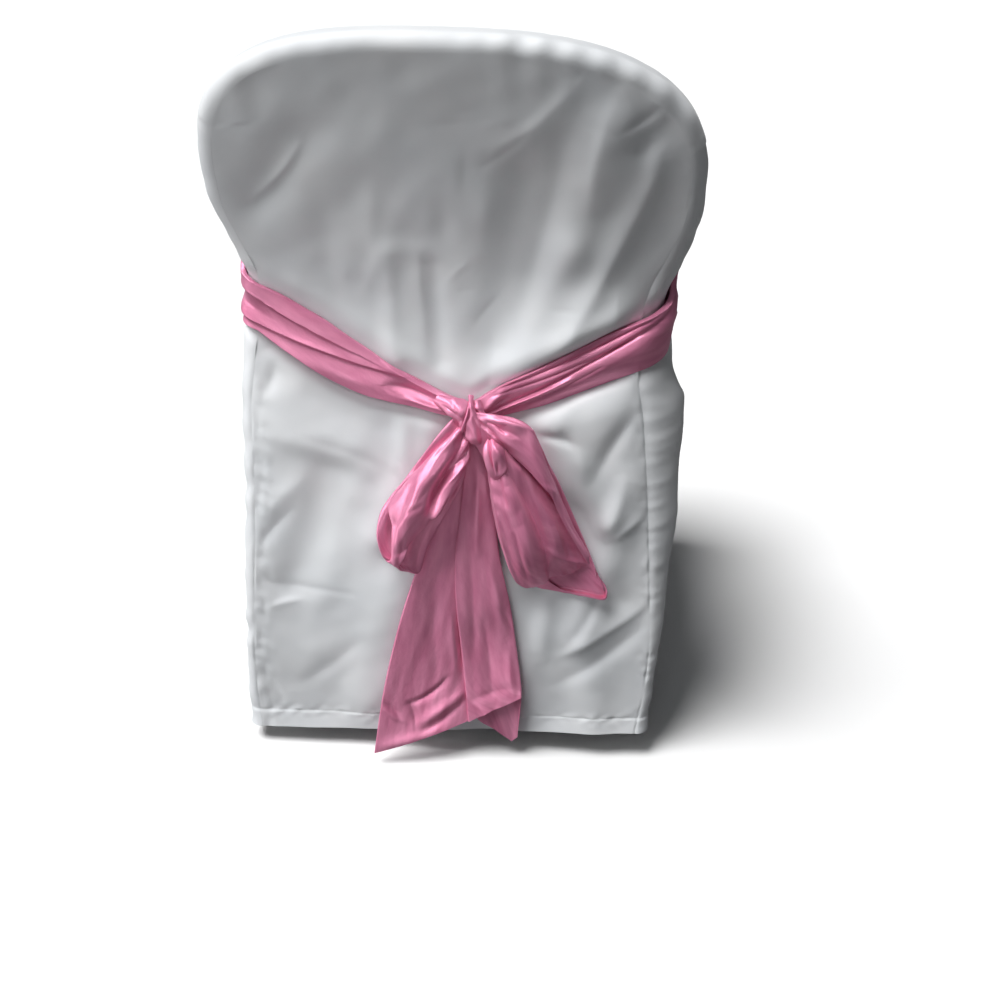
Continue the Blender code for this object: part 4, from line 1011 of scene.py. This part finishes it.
def band_path():
    """The net's a and b all the way round, from the knot to the left and back to the knot.

    It also says which points are the left and the right end of the run behind the chair."""
    knot_a = KNOT_X / KNOT_REACH
    sides = lines((0, END_ROUND, 0.05), (END_ROUND, 1, 0.12))
    corner = np.ones(len(sides) - 1)
    left, right = np.linspace(knot_a, -1, 150), np.linspace(1, knot_a, 130)[1:]
    inside = np.linspace(-1, 1, 60)[1:]
    a = np.concatenate([left, -corner, inside, corner, right])
    b = np.concatenate([0 * left, sides[1:], np.ones(len(inside)), sides[::-1][1:], 0 * right])
    return a, b, len(left) - 1, len(a) - len(right) - 1


def lay_band(name, count=58, under=0.62, radius=0.0009):
    """The strip all the way round the cover, edges turned under."""
    a, b, left_end, right_end = band_path()
    rear_x = place(a, 0, SEAT + 0.05)[:, 0]
    row = {field: band_field(field, rear_x) for field in Band._fields[1:]}
    row = {field: (value + (getattr(FRONT_BAND, field) - value) * b)[:, None]
           for field, value in row.items()}
    places, hidden, first = across_lines(count)
    share = turn_under(places, under, under)[None, :] + 0 * a[:, None]

    def surface(share):
        return place(a[:, None], b[:, None], row["low"] + (row["high"] - row["low"]) * share)

    points = surface(share)
    walked = path_length(points[:, points.shape[1] // 2])[:, None]
    normal = surface_normals(points, surface(share + 0.01) - surface(share - 0.01))
    x, height = points[..., 0], points[..., 2] + CHAIR_TOP
    settled = (1 - np.abs(a[:, None]) ** 12) * (b[:, None] == 0)
    middle_height = (row["low"] + row["high"]) / 2 + 0 * share
    sunk = np.minimum(right_hollow(x, middle_height, row["low"], row["high"]), 0)
    cover = (broad_relief(x, height) + sunk) * settled - BAND_SEAT
    order = np.arange(len(a))[:, None]
    from_left = x[left_end] + walked[left_end] - walked
    from_right = x[right_end] + walked[right_end] - walked
    rolled_out = np.where(order > len(a) / 2, from_right, from_left)
    rolled_out = np.where((order > left_end) & (order < right_end), rolled_out, x)
    s = np.clip(share, 0, 1)
    out = row["out_low"] * (1 - s) * (1 - 2 * s) + row["out_mid"] * 4 * s * (1 - s)
    out = out + row["out_high"] * s * (2 * s - 1)
    out = out + crease_relief(BAND_CREASES, rolled_out, height)
    out = out + 0.0002 * ripple(share * 0.05, walked * 0.3, 0.02, 41, 14)
    distance = np.where(first, share, 1 - share) * (row["high"] - row["low"])
    lift = np.where(hidden, 0.25 * out, out) + BAND_CLEAR + 2 * radius
    points = points + normal * (cover + lift + turned_edge(distance, hidden, radius))[..., None]
    return make_strip(name, points)


waistband = lay_band("waistband")

# %% [markdown]
# ## The knot
#
# The left end of the band folds over the top as a shining lobe, a narrow fold hangs beside it,
# and a tight wrap comes down the middle. Between the wrap and the right loop lie small pinched
# folds, and a curl of the strip, the tongue, hangs below them. A folded length lies along the
# top of the right loop. All are short lengths of the same strip, so the first four are joined to
# the waistband, and the other two to the right loop.

# %% Tie the knot
LOBE = (
    Line(-0.016, 0.4140, 0.011, -0.012, 0.4220, 0.009, 0.002, 0.4, 0.4),
    Line(-0.006, 0.4087, 0.017, 0.0006, 0.4215, 0.015, 0.006, 0.4, 0.4),
    Line(0.000, 0.4049, 0.019, 0.0086, 0.4221, 0.016, 0.009, 0.4, 0.4),
    Line(0.0061, 0.4020, 0.021, 0.0156, 0.4213, 0.017, 0.010, 0.4, 0.4),
    Line(0.0102, 0.3981, 0.022, 0.0202, 0.4169, 0.020, 0.007, 0.4, 0.4),
    Line(0.0118, 0.3941, 0.023, 0.0170, 0.4057, 0.023, 0.003, 0.4, 0.4),
    Line(0.0123, 0.3915, 0.022, 0.0141, 0.3964, 0.022, 0.001, 0.4, 0.4),
)
LOBE_CREASES = (
    Crease(-0.008, 0.4150, 0.014, 0.4020, 0.002, -0.0022, 0.0022, 0.0022, 1.6),
    Crease(0.002, 0.4200, 0.010, 0.4060, 0.001, -0.0016, 0.0018, 0.0018, 1.6),
    Crease(-0.004, 0.4100, 0.010, 0.4000, 0.001, 0.0012, 0.0016, 0.0016, 1.6),
)
NARROW_FOLD = (
    Line(0.0190, 0.4190, 0.016, 0.0215, 0.4185, 0.016, 0.001, 0.3, 0.3),
    Line(0.0178, 0.4120, 0.026, 0.0208, 0.4115, 0.025, 0.002, 0.3, 0.3),
    Line(0.0150, 0.4030, 0.028, 0.0192, 0.4020, 0.026, 0.002, 0.3, 0.3),
    Line(0.0125, 0.3950, 0.026, 0.0170, 0.3930, 0.025, 0.002, 0.3, 0.3),
    Line(0.0122, 0.3910, 0.023, 0.0145, 0.3890, 0.023, 0.001, 0.3, 0.3),
)
WRAP = (
    Line(0.0190, 0.4220, 0.009, 0.0240, 0.4215, 0.009, 0.000, 0.4, 0.4),
    Line(0.0200, 0.4190, 0.020, 0.0245, 0.4180, 0.020, 0.001, 0.4, 0.4),
    Line(0.0192, 0.4085, 0.023, 0.0271, 0.4119, 0.021, 0.003, 0.4, 0.4),
    Line(0.0164, 0.3993, 0.023, 0.0322, 0.4050, 0.021, 0.005, 0.4, 0.4),
    Line(0.0150, 0.3900, 0.023, 0.0360, 0.3960, 0.021, 0.006, 0.4, 0.4),
    Line(0.0177, 0.3827, 0.023, 0.0367, 0.3866, 0.021, 0.006, 0.4, 0.4),
    Line(0.0228, 0.3767, 0.021, 0.0349, 0.3792, 0.020, 0.003, 0.4, 0.4),
    Line(0.0250, 0.3760, 0.013, 0.0335, 0.3770, 0.013, 0.000, 0.4, 0.4),
)
WRAP_CREASES = (
    Crease(0.0200, 0.4000, 0.0320, 0.3790, 0.000, 0.0020, 0.0040, 0.0020, 1.3),
    Crease(0.0240, 0.4080, 0.0340, 0.3860, 0.001, -0.0014, 0.0020, 0.0020, 1.4),
    Crease(0.0200, 0.4100, 0.0190, 0.3860, 0.000, 0.0012, 0.0014, 0.0030, 1.4),
)
PINCHED = (
    Line(0.0235, 0.4190, 0.015, 0.0310, 0.4200, 0.014, 0.002, 0.3, 0.3),
    Line(0.0265, 0.4110, 0.017, 0.0349, 0.4110, 0.018, 0.003, 0.3, 0.3),
    Line(0.0315, 0.4040, 0.018, 0.0400, 0.4050, 0.020, 0.004, 0.3, 0.3),
    Line(0.0355, 0.3957, 0.019, 0.0455, 0.3960, 0.022, 0.005, 0.3, 0.3),
    Line(0.0362, 0.3884, 0.020, 0.0470, 0.3885, 0.024, 0.005, 0.3, 0.3),
    Line(0.0355, 0.3810, 0.020, 0.0445, 0.3810, 0.024, 0.003, 0.3, 0.3),
)
PINCHED_CREASES = (
    Crease(0.0380, 0.4040, 0.0440, 0.3830, 0.002, 0.0022, 0.0016, 0.0020, 1.6),
    Crease(0.0350, 0.4010, 0.0385, 0.3850, 0.001, -0.0028, 0.0014, 0.0016, 1.4),
    Crease(0.0350, 0.3965, 0.0400, 0.3905, 0.000, 0.0022, 0.0016, 0.0016, 1.6),
    Crease(0.0235, 0.4140, 0.0320, 0.4125, 0.000, 0.0024, 0.0016, 0.0016, 1.6),
    Crease(0.0240, 0.4110, 0.0300, 0.4060, 0.000, -0.0026, 0.0012, 0.0014, 1.4),
    Crease(0.0225, 0.4100, 0.0280, 0.4040, 0.000, 0.0020, 0.0010, 0.0012, 1.6),
)
TONGUE = (
    Line(0.0391, 0.3863, 0.0280, 0.0450, 0.3862, 0.0300, 0.001, 0.40, 0.40),
    Line(0.0360, 0.3813, 0.0330, 0.0516, 0.3843, 0.0370, 0.003, 0.40, 0.40),
    Line(0.0355, 0.3754, 0.0360, 0.0570, 0.3792, 0.0400, 0.004, 0.40, 0.40),
    Line(0.0371, 0.3666, 0.0370, 0.0592, 0.3703, 0.0400, 0.004, 0.40, 0.40),
    Line(0.0395, 0.3578, 0.0360, 0.0603, 0.3617, 0.0390, 0.004, 0.40, 0.40),
    Line(0.0431, 0.3495, 0.0340, 0.0604, 0.3549, 0.0370, 0.003, 0.40, 0.40),
    Line(0.0474, 0.3447, 0.0320, 0.0549, 0.3479, 0.0340, 0.001, 0.40, 0.40),
)
TONGUE_CREASES = (
    Crease(0.0411, 0.3890, 0.0484, 0.3549, -0.001, -0.0042, 0.0012, 0.0022, 1.3),
    Crease(0.0506, 0.3676, 0.0519, 0.3551, 0.000, -0.0030, 0.0016, 0.0020, 1.5),
    Crease(0.0457, 0.3830, 0.0550, 0.3709, 0.001, 0.0022, 0.0030, 0.0030, 1.8),
    Crease(0.0535, 0.3520, 0.0592, 0.3627, -0.001, 0.0016, 0.0020, 0.0020, 1.8),
)
UPPER_STRIP = (
    Line(0.0375, 0.4057, 0.0245, 0.0388, 0.3967, 0.0260, 0.002, 0.25, 0.35),
    Line(0.0515, 0.4065, 0.0275, 0.0503, 0.3861, 0.0310, 0.005, 0.25, 0.35),
    Line(0.0666, 0.4054, 0.0305, 0.0648, 0.3704, 0.0350, 0.006, 0.25, 0.35),
    Line(0.0817, 0.3967, 0.0290, 0.0824, 0.3550, 0.0365, 0.005, 0.25, 0.35),
    Line(0.0923, 0.3792, 0.0260, 0.0969, 0.3409, 0.0355, 0.004, 0.25, 0.35),
    Line(0.1033, 0.3542, 0.0235, 0.1059, 0.3303, 0.0330, 0.003, 0.25, 0.35),
    Line(0.1146, 0.3266, 0.0210, 0.1127, 0.3129, 0.0300, 0.003, 0.25, 0.35),
    Line(0.1259, 0.3030, 0.0185, 0.1233, 0.2918, 0.0265, 0.003, 0.25, 0.35),
    Line(0.1374, 0.2798, 0.0160, 0.1341, 0.2721, 0.0225, 0.002, 0.25, 0.35),
    Line(0.1472, 0.2607, 0.0135, 0.1439, 0.2537, 0.0175, 0.002, 0.25, 0.35),
    Line(0.1500, 0.2482, 0.0115, 0.1480, 0.2464, 0.0125, 0.001, 0.25, 0.35),
)
UPPER_CREASES = (
    Crease(0.0417, 0.4073, 0.0787, 0.3991, 0.001, 0.0034, 0.0026, 0.0040, 1.7),
    Crease(0.0459, 0.4022, 0.0741, 0.3901, 0.001, -0.0036, 0.0040, 0.0050, 1.8),
    Crease(0.0408, 0.4047, 0.0569, 0.3952, 0.001, -0.0020, 0.0014, 0.0018, 1.4),
    Crease(0.0503, 0.3906, 0.0726, 0.3759, 0.001, 0.0018, 0.0022, 0.0030, 1.7),
    Crease(0.0800, 0.3910, 0.1060, 0.3395, -0.002, 0.0014, 0.0040, 0.0050, 1.9),
    Crease(0.0988, 0.3428, 0.1105, 0.3295, 0.001, 0.0018, 0.0020, 0.0024, 1.6),
    Crease(0.1107, 0.3237, 0.1431, 0.2666, 0.000, -0.0012, 0.0016, 0.0020, 1.5),
)


def join(parts, whole):
    """Joins short lengths of the strip to the length that they belong to."""
    bpy.ops.object.select_all(action="DESELECT")
    for part in (*parts, whole):
        part.select_set(True)
    bpy.context.view_layer.objects.active = whole
    bpy.ops.object.join()


knot_parts = [
    lay_strip("lobe", LOBE, LOBE_CREASES,
              steps=(8, 8), count=30, radius=0.0016, seed=51, drift=0.0003),
    lay_strip("narrow_fold", NARROW_FOLD,
              steps=(8, 8), count=8, radius=0.0010, seed=52, drift=0.0001),
    lay_strip("wrap", WRAP, WRAP_CREASES,
              steps=(8, 8), count=26, radius=0.0016, seed=53, drift=0.0003),
    lay_strip("pinched", PINCHED, PINCHED_CREASES,
              steps=(10, 8), count=20, radius=0.0010, seed=54, drift=0.0002),
]
join(knot_parts, waistband)
loop_parts = [
    lay_strip("tongue", TONGUE, TONGUE_CREASES,
              steps=(12, 8), count=34, radius=0.0014, seed=55, drift=0.0001),
    lay_strip("upper_strip", UPPER_STRIP, UPPER_CREASES,
              steps=(12, 8), count=34, radius=0.0012, seed=56, drift=0.0002),
]
join(loop_parts, right_loop)
sash_pieces = [waistband, left_loop, right_loop, left_tail, right_tail]
for strip in sash_pieces:
    thicken(strip, SATIN, SATIN_CORNER)

# %% [markdown]
# ## White polyester
#
# The cover's cloth is a plain, tightly woven polyester with a faint sheen. A fine weave of two
# crossed waves gives the surface its tooth, and a slow variation keeps a large white panel from
# looking like plastic. A pattern on the flat map follows the threads of each panel.

# %% Make the white cloth
def new_material(name, settings):
    """A material whose main shader has these settings, with its nodes, links and shader."""
    material = bpy.data.materials.new(name)
    material.use_nodes = True
    nodes = material.node_tree.nodes
    shader = nodes["Principled BSDF"]
    for setting, value in settings.items():
        shader.inputs[setting].default_value = value
    return material, nodes, material.node_tree.links, shader


def add_node(nodes, kind, **settings):
    """A node whose sockets and properties are set by name."""
    node = nodes.new(kind)
    for name, value in settings.items():
        if name in node.inputs:
            node.inputs[name].default_value = value
        else:
            setattr(node, name, value)
    return node


def colour_by(texture, nodes, links, shader, darker, lighter):
    """Colours the cloth between two tones by a texture. Each tone is (place, colour)."""
    ramp = add_node(nodes, "ShaderNodeValToRGB")
    for element, (place_on_ramp, colour) in zip(ramp.color_ramp.elements, (darker, lighter)):
        element.position, element.color = place_on_ramp, colour
    links.new(texture.outputs["Fac"], ramp.inputs["Fac"])
    links.new(ramp.outputs["Color"], shader.inputs["Base Color"])


def bump_by(height, nodes, links, strength, distance, under=None):
    """Raises the surface by a texture's output, over another bump."""
    bump = add_node(nodes, "ShaderNodeBump", Strength=strength, Distance=distance)
    links.new(height, bump.inputs["Height"])
    if under:
        links.new(under.outputs["Normal"], bump.inputs["Normal"])
    return bump


white, nodes, links, shader = new_material("white_polyester", {
    "Roughness": 0.62, "Sheen Weight": 0.25, "Sheen Roughness": 0.45, "Specular IOR Level": 0.35})
place_node = add_node(nodes, "ShaderNodeUVMap", uv_map="flat")
slow = add_node(nodes, "ShaderNodeTexNoise", Scale=9.0, Detail=3.0, Roughness=0.55)
links.new(place_node.outputs["UV"], slow.inputs["Vector"])
colour_by(slow, nodes, links, shader, (0.3, (0.76, 0.785, 0.81, 1)), (0.7, (0.84, 0.855, 0.87, 1)))
weft = add_node(nodes, "ShaderNodeTexWave", bands_direction="X", Scale=320.0, Distortion=0.6)
warp = add_node(nodes, "ShaderNodeTexWave", bands_direction="Y", Scale=320.0, Distortion=0.6)
weave = add_node(nodes, "ShaderNodeMath", operation="MAXIMUM")
crumple = add_node(nodes, "ShaderNodeTexNoise", Scale=75.0, Detail=4.0, Roughness=0.6)
for texture in (weft, warp, crumple):
    links.new(place_node.outputs["UV"], texture.inputs["Vector"])
links.new(weft.outputs["Fac"], weave.inputs[0])
links.new(warp.outputs["Fac"], weave.inputs[1])
fine = bump_by(weave.outputs["Value"], nodes, links, 0.25, 0.00008)
soft = bump_by(crumple.outputs["Fac"], nodes, links, 0.3, 0.0006, under=fine)
links.new(soft.outputs["Normal"], shader.inputs["Normal"])
for panel in (back, front, left_gusset, right_gusset):
    panel.data.materials.append(white)
print("white cloth on four panels")

# %% [markdown]
# ## Pink satin
#
# Satin has long floating threads, so it shines along its folds and looks dark where it turns
# away. The shader is partly metallic, so its highlights are pink as well, and anisotropy
# stretches them. A sheen brightens the cloth where it curves away. Three bumps lie over each
# other: long soft creases, small wrinkles and fine threads. The colour follows the noise of the
# long
# creases: painted shade in their valleys and painted sheen on their crests.

# %% Make the satin
satin, nodes, links, shader = new_material("pink_satin", {
    "Metallic": 0.4, "Roughness": 0.45, "Specular IOR Level": 1.0,
    "Anisotropic": 0.8, "Anisotropic Rotation": 0.25,
    "Sheen Weight": 0.3, "Sheen Tint": (1.0, 0.7, 0.85, 1), "Sheen Roughness": 0.4})
strip_map = add_node(nodes, "ShaderNodeUVMap", uv_map="flat")
across = add_node(nodes, "ShaderNodeTangent", direction_type="UV_MAP", uv_map="flat")
links.new(across.outputs["Tangent"], shader.inputs["Tangent"])
stretched = add_node(nodes, "ShaderNodeMapping", Scale=(1.0, 0.22, 1.0))
links.new(strip_map.outputs["UV"], stretched.inputs["Vector"])
long_folds_and_painted_shade = add_node(nodes, "ShaderNodeTexNoise", Scale=80.0, Detail=3.0, Roughness=0.5)
threads = add_node(nodes, "ShaderNodeTexNoise", Scale=1400.0, Detail=2.0, Roughness=0.5)
for texture in (long_folds_and_painted_shade, threads):
    links.new(stretched.outputs["Vector"], texture.inputs["Vector"])
# Painted shade and sheen: the colour is darker where the long-crease bump is low, lighter where it
# is high.
colour_by(long_folds_and_painted_shade, nodes, links, shader,
          (0.25, (0.67, 0.175, 0.325, 1)), (0.75, (0.95, 0.350, 0.545, 1)))
wrinkles = add_node(nodes, "ShaderNodeTexNoise", Scale=190.0, Detail=3.0, Roughness=0.6)
links.new(strip_map.outputs["UV"], wrinkles.inputs["Vector"])
folds_bump = bump_by(long_folds_and_painted_shade.outputs["Fac"], nodes, links, 0.25, 0.0012)
wrinkles_bump = bump_by(wrinkles.outputs["Fac"], nodes, links, 0.4, 0.0008, under=folds_bump)
threads_bump = bump_by(threads.outputs["Fac"], nodes, links, 0.3, 0.0001, under=wrinkles_bump)
links.new(threads_bump.outputs["Normal"], shader.inputs["Normal"])
for strip in sash_pieces:
    strip.data.materials.append(satin)
print("satin on", len(sash_pieces), "lengths of the sash")

# %% [markdown]
# ## Ride and replace
#
# Each panel stands for its solid, which is hidden, and rides on the part's one body. Beside each
# panel stand its flat size and area, and beside each length of the sash the length of its middle
# line and how it is held.

for sheet, node, flat_size, area in (
    (back, "back_panel", (0.59, 0.83), 0.33),
    (front, "front_panel", (0.476, 1.10), 0.50),
    (left_gusset, "side_panel_left", (0.52, 0.665), 0.21),
    (right_gusset, "side_panel_right", (0.52, 0.665), 0.21),
):
    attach(sheet, "root")
    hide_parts(node)
for strip, length, held in (
    (waistband, 1.03, "gathered"),
    (left_loop, 0.356, "gathered"),
    (right_loop, 0.467, "gathered"),
    (left_tail, 0.365, "hung"),
    (right_tail, 0.326, "hung"),
):
    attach(strip, "root")
    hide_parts("sash")

# %% [markdown]
# ## Floor, light and camera
#
# The floor is plain. A broad soft sun stands high on the left and a little behind the chair, so
# that it rakes down the outside back and shows each fold, and a weaker one stands low on the
# left. Four small spot lamps are aimed at the bow and the ends below it, because satin shows its
# folds only where bright light strikes them at a slant. Floor and wall are darker to the light
# than they look, so that they throw little of it back into the folds.

# %% Set the floor
bpy.ops.mesh.primitive_plane_add(size=12, location=(0, 0, -CHAIR_TOP))
floor = bpy.context.active_object
floor.name = "floor"
floor_paint, nodes, links, shader = new_material("pale_floor", {
    "Roughness": 0.9, "Specular IOR Level": 0.0})
ray = add_node(nodes, "ShaderNodeLightPath")
dim = add_node(nodes, "ShaderNodeMix", data_type="RGBA")
dim.inputs["A"].default_value = (0.15, 0.15, 0.15, 1)
dim.inputs["B"].default_value = (0.95, 0.95, 0.95, 1)
links.new(ray.outputs["Is Camera Ray"], dim.inputs["Factor"])
links.new(dim.outputs["Result"], shader.inputs["Base Color"])
floor.data.materials.append(floor_paint)
floor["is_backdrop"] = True

# %% Hang the lights
LAMP_AWAY, LAMP_RADIUS = 1.2, 0.25


def hang(lamp, towards, at=(0, 0, 0)):
    """Puts a lamp in the room. towards points from what it lights to the lamp."""
    thing = bpy.data.objects.new(lamp.name, lamp)
    thing.location = at
    thing.rotation_mode = "QUATERNION"
    thing.rotation_quaternion = Vector(towards).to_track_quat("Z", "Y")
    bpy.context.scene.collection.objects.link(thing)


def sun(name, towards, strength, spread):
    """Soft light that arrives from one side of the room."""
    lamp = bpy.data.lights.new(name, "SUN")
    lamp.energy, lamp.angle = strength, math.radians(spread)
    hang(lamp, towards)


def spot(name, aim, towards, watts, reach, colour=(1, 1, 1)):
    """A lamp that aims at a place. Its pool of light fades out at the reach."""
    lamp = bpy.data.lights.new(name, "SPOT")
    lamp.energy, lamp.color, lamp.shadow_soft_size = watts, colour, LAMP_RADIUS
    lamp.spot_size, lamp.spot_blend = 2 * math.atan(reach / LAMP_AWAY), 1.0
    hang(lamp, towards, Vector(aim) + Vector(towards).normalized() * LAMP_AWAY)


sun("ceiling_light", (-0.37, -0.165, 0.915), 3.6, 30)
sun("side_light", (-0.92, -0.30, 0.25), 1.0, 24)
spot("window_light", (-0.03, 0.02, -0.27), (-0.40, -0.80, 0.50), 2, 0.30)
spot("lamp_on_left", (-0.110, 0.0, -0.34), (0.20, -0.80, 0.55), 62, 0.11)
spot("lamp_far_left", (-0.190, 0.0, -0.28), (-0.10, -0.95, 0.25), 50, 0.08)
spot("lamp_below", (-0.04, -0.03, -0.68), (-0.20, -0.90, 0.30), 12, 0.15, (0.90, 0.95, 1.0))

# %% Paint the room
ROOM_COLOUR = (0.95, 0.97, 1.0, 1)
world = bpy.data.worlds.new("pale_room")
bpy.context.scene.world = world
world.use_nodes = True
nodes, links = world.node_tree.nodes, world.node_tree.links
background = nodes["Background"]
background.inputs["Color"].default_value = ROOM_COLOUR
background.inputs["Strength"].default_value = 0.08
wall = add_node(nodes, "ShaderNodeBackground", Color=ROOM_COLOUR, Strength=1.0)
seen = add_node(nodes, "ShaderNodeLightPath")
choice = add_node(nodes, "ShaderNodeMixShader")
links.new(seen.outputs["Is Camera Ray"], choice.inputs[0])
links.new(background.outputs["Background"], choice.inputs[1])
links.new(wall.outputs["Background"], choice.inputs[2])
links.new(choice.outputs["Shader"], nodes["World Output"].inputs["Surface"])
bpy.context.scene.view_settings.view_transform = "Standard"

# %% Place the camera
CAMERA_AT, YAW, PITCH, ROLL = Vector((0.089, -1.173, 0.203)), 1.75, 29.57, 1.41
yaw, pitch, roll = (math.radians(angle) for angle in (YAW, PITCH, ROLL))
forward = Vector((-math.sin(yaw) * math.cos(pitch), math.cos(yaw) * math.cos(pitch),
                  -math.sin(pitch)))
level_right = Vector((math.cos(yaw), math.sin(yaw), 0))
level_up = level_right.cross(forward)
right = level_right * math.cos(roll) + level_up * math.sin(roll)
up = level_up * math.cos(roll) - level_right * math.sin(roll)
lens = bpy.data.cameras.new("camera")
lens.sensor_width, lens.lens = 36, 46.8
camera = bpy.data.objects.new("camera", lens)
camera.location = CAMERA_AT
camera.rotation_mode = "QUATERNION"
camera.rotation_quaternion = Matrix((right, up, -forward)).transposed().to_quaternion()
bpy.context.scene.collection.objects.link(camera)
bpy.context.scene.camera = camera

# %% Print how far the cloth grows past the part
visual_box = [list(corner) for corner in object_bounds()]
grown = [[round((q - p) * 1000, 1) for p, q in zip(*pair)] for pair in zip(part_box, visual_box)]
print("grown by, in mm:", grown)
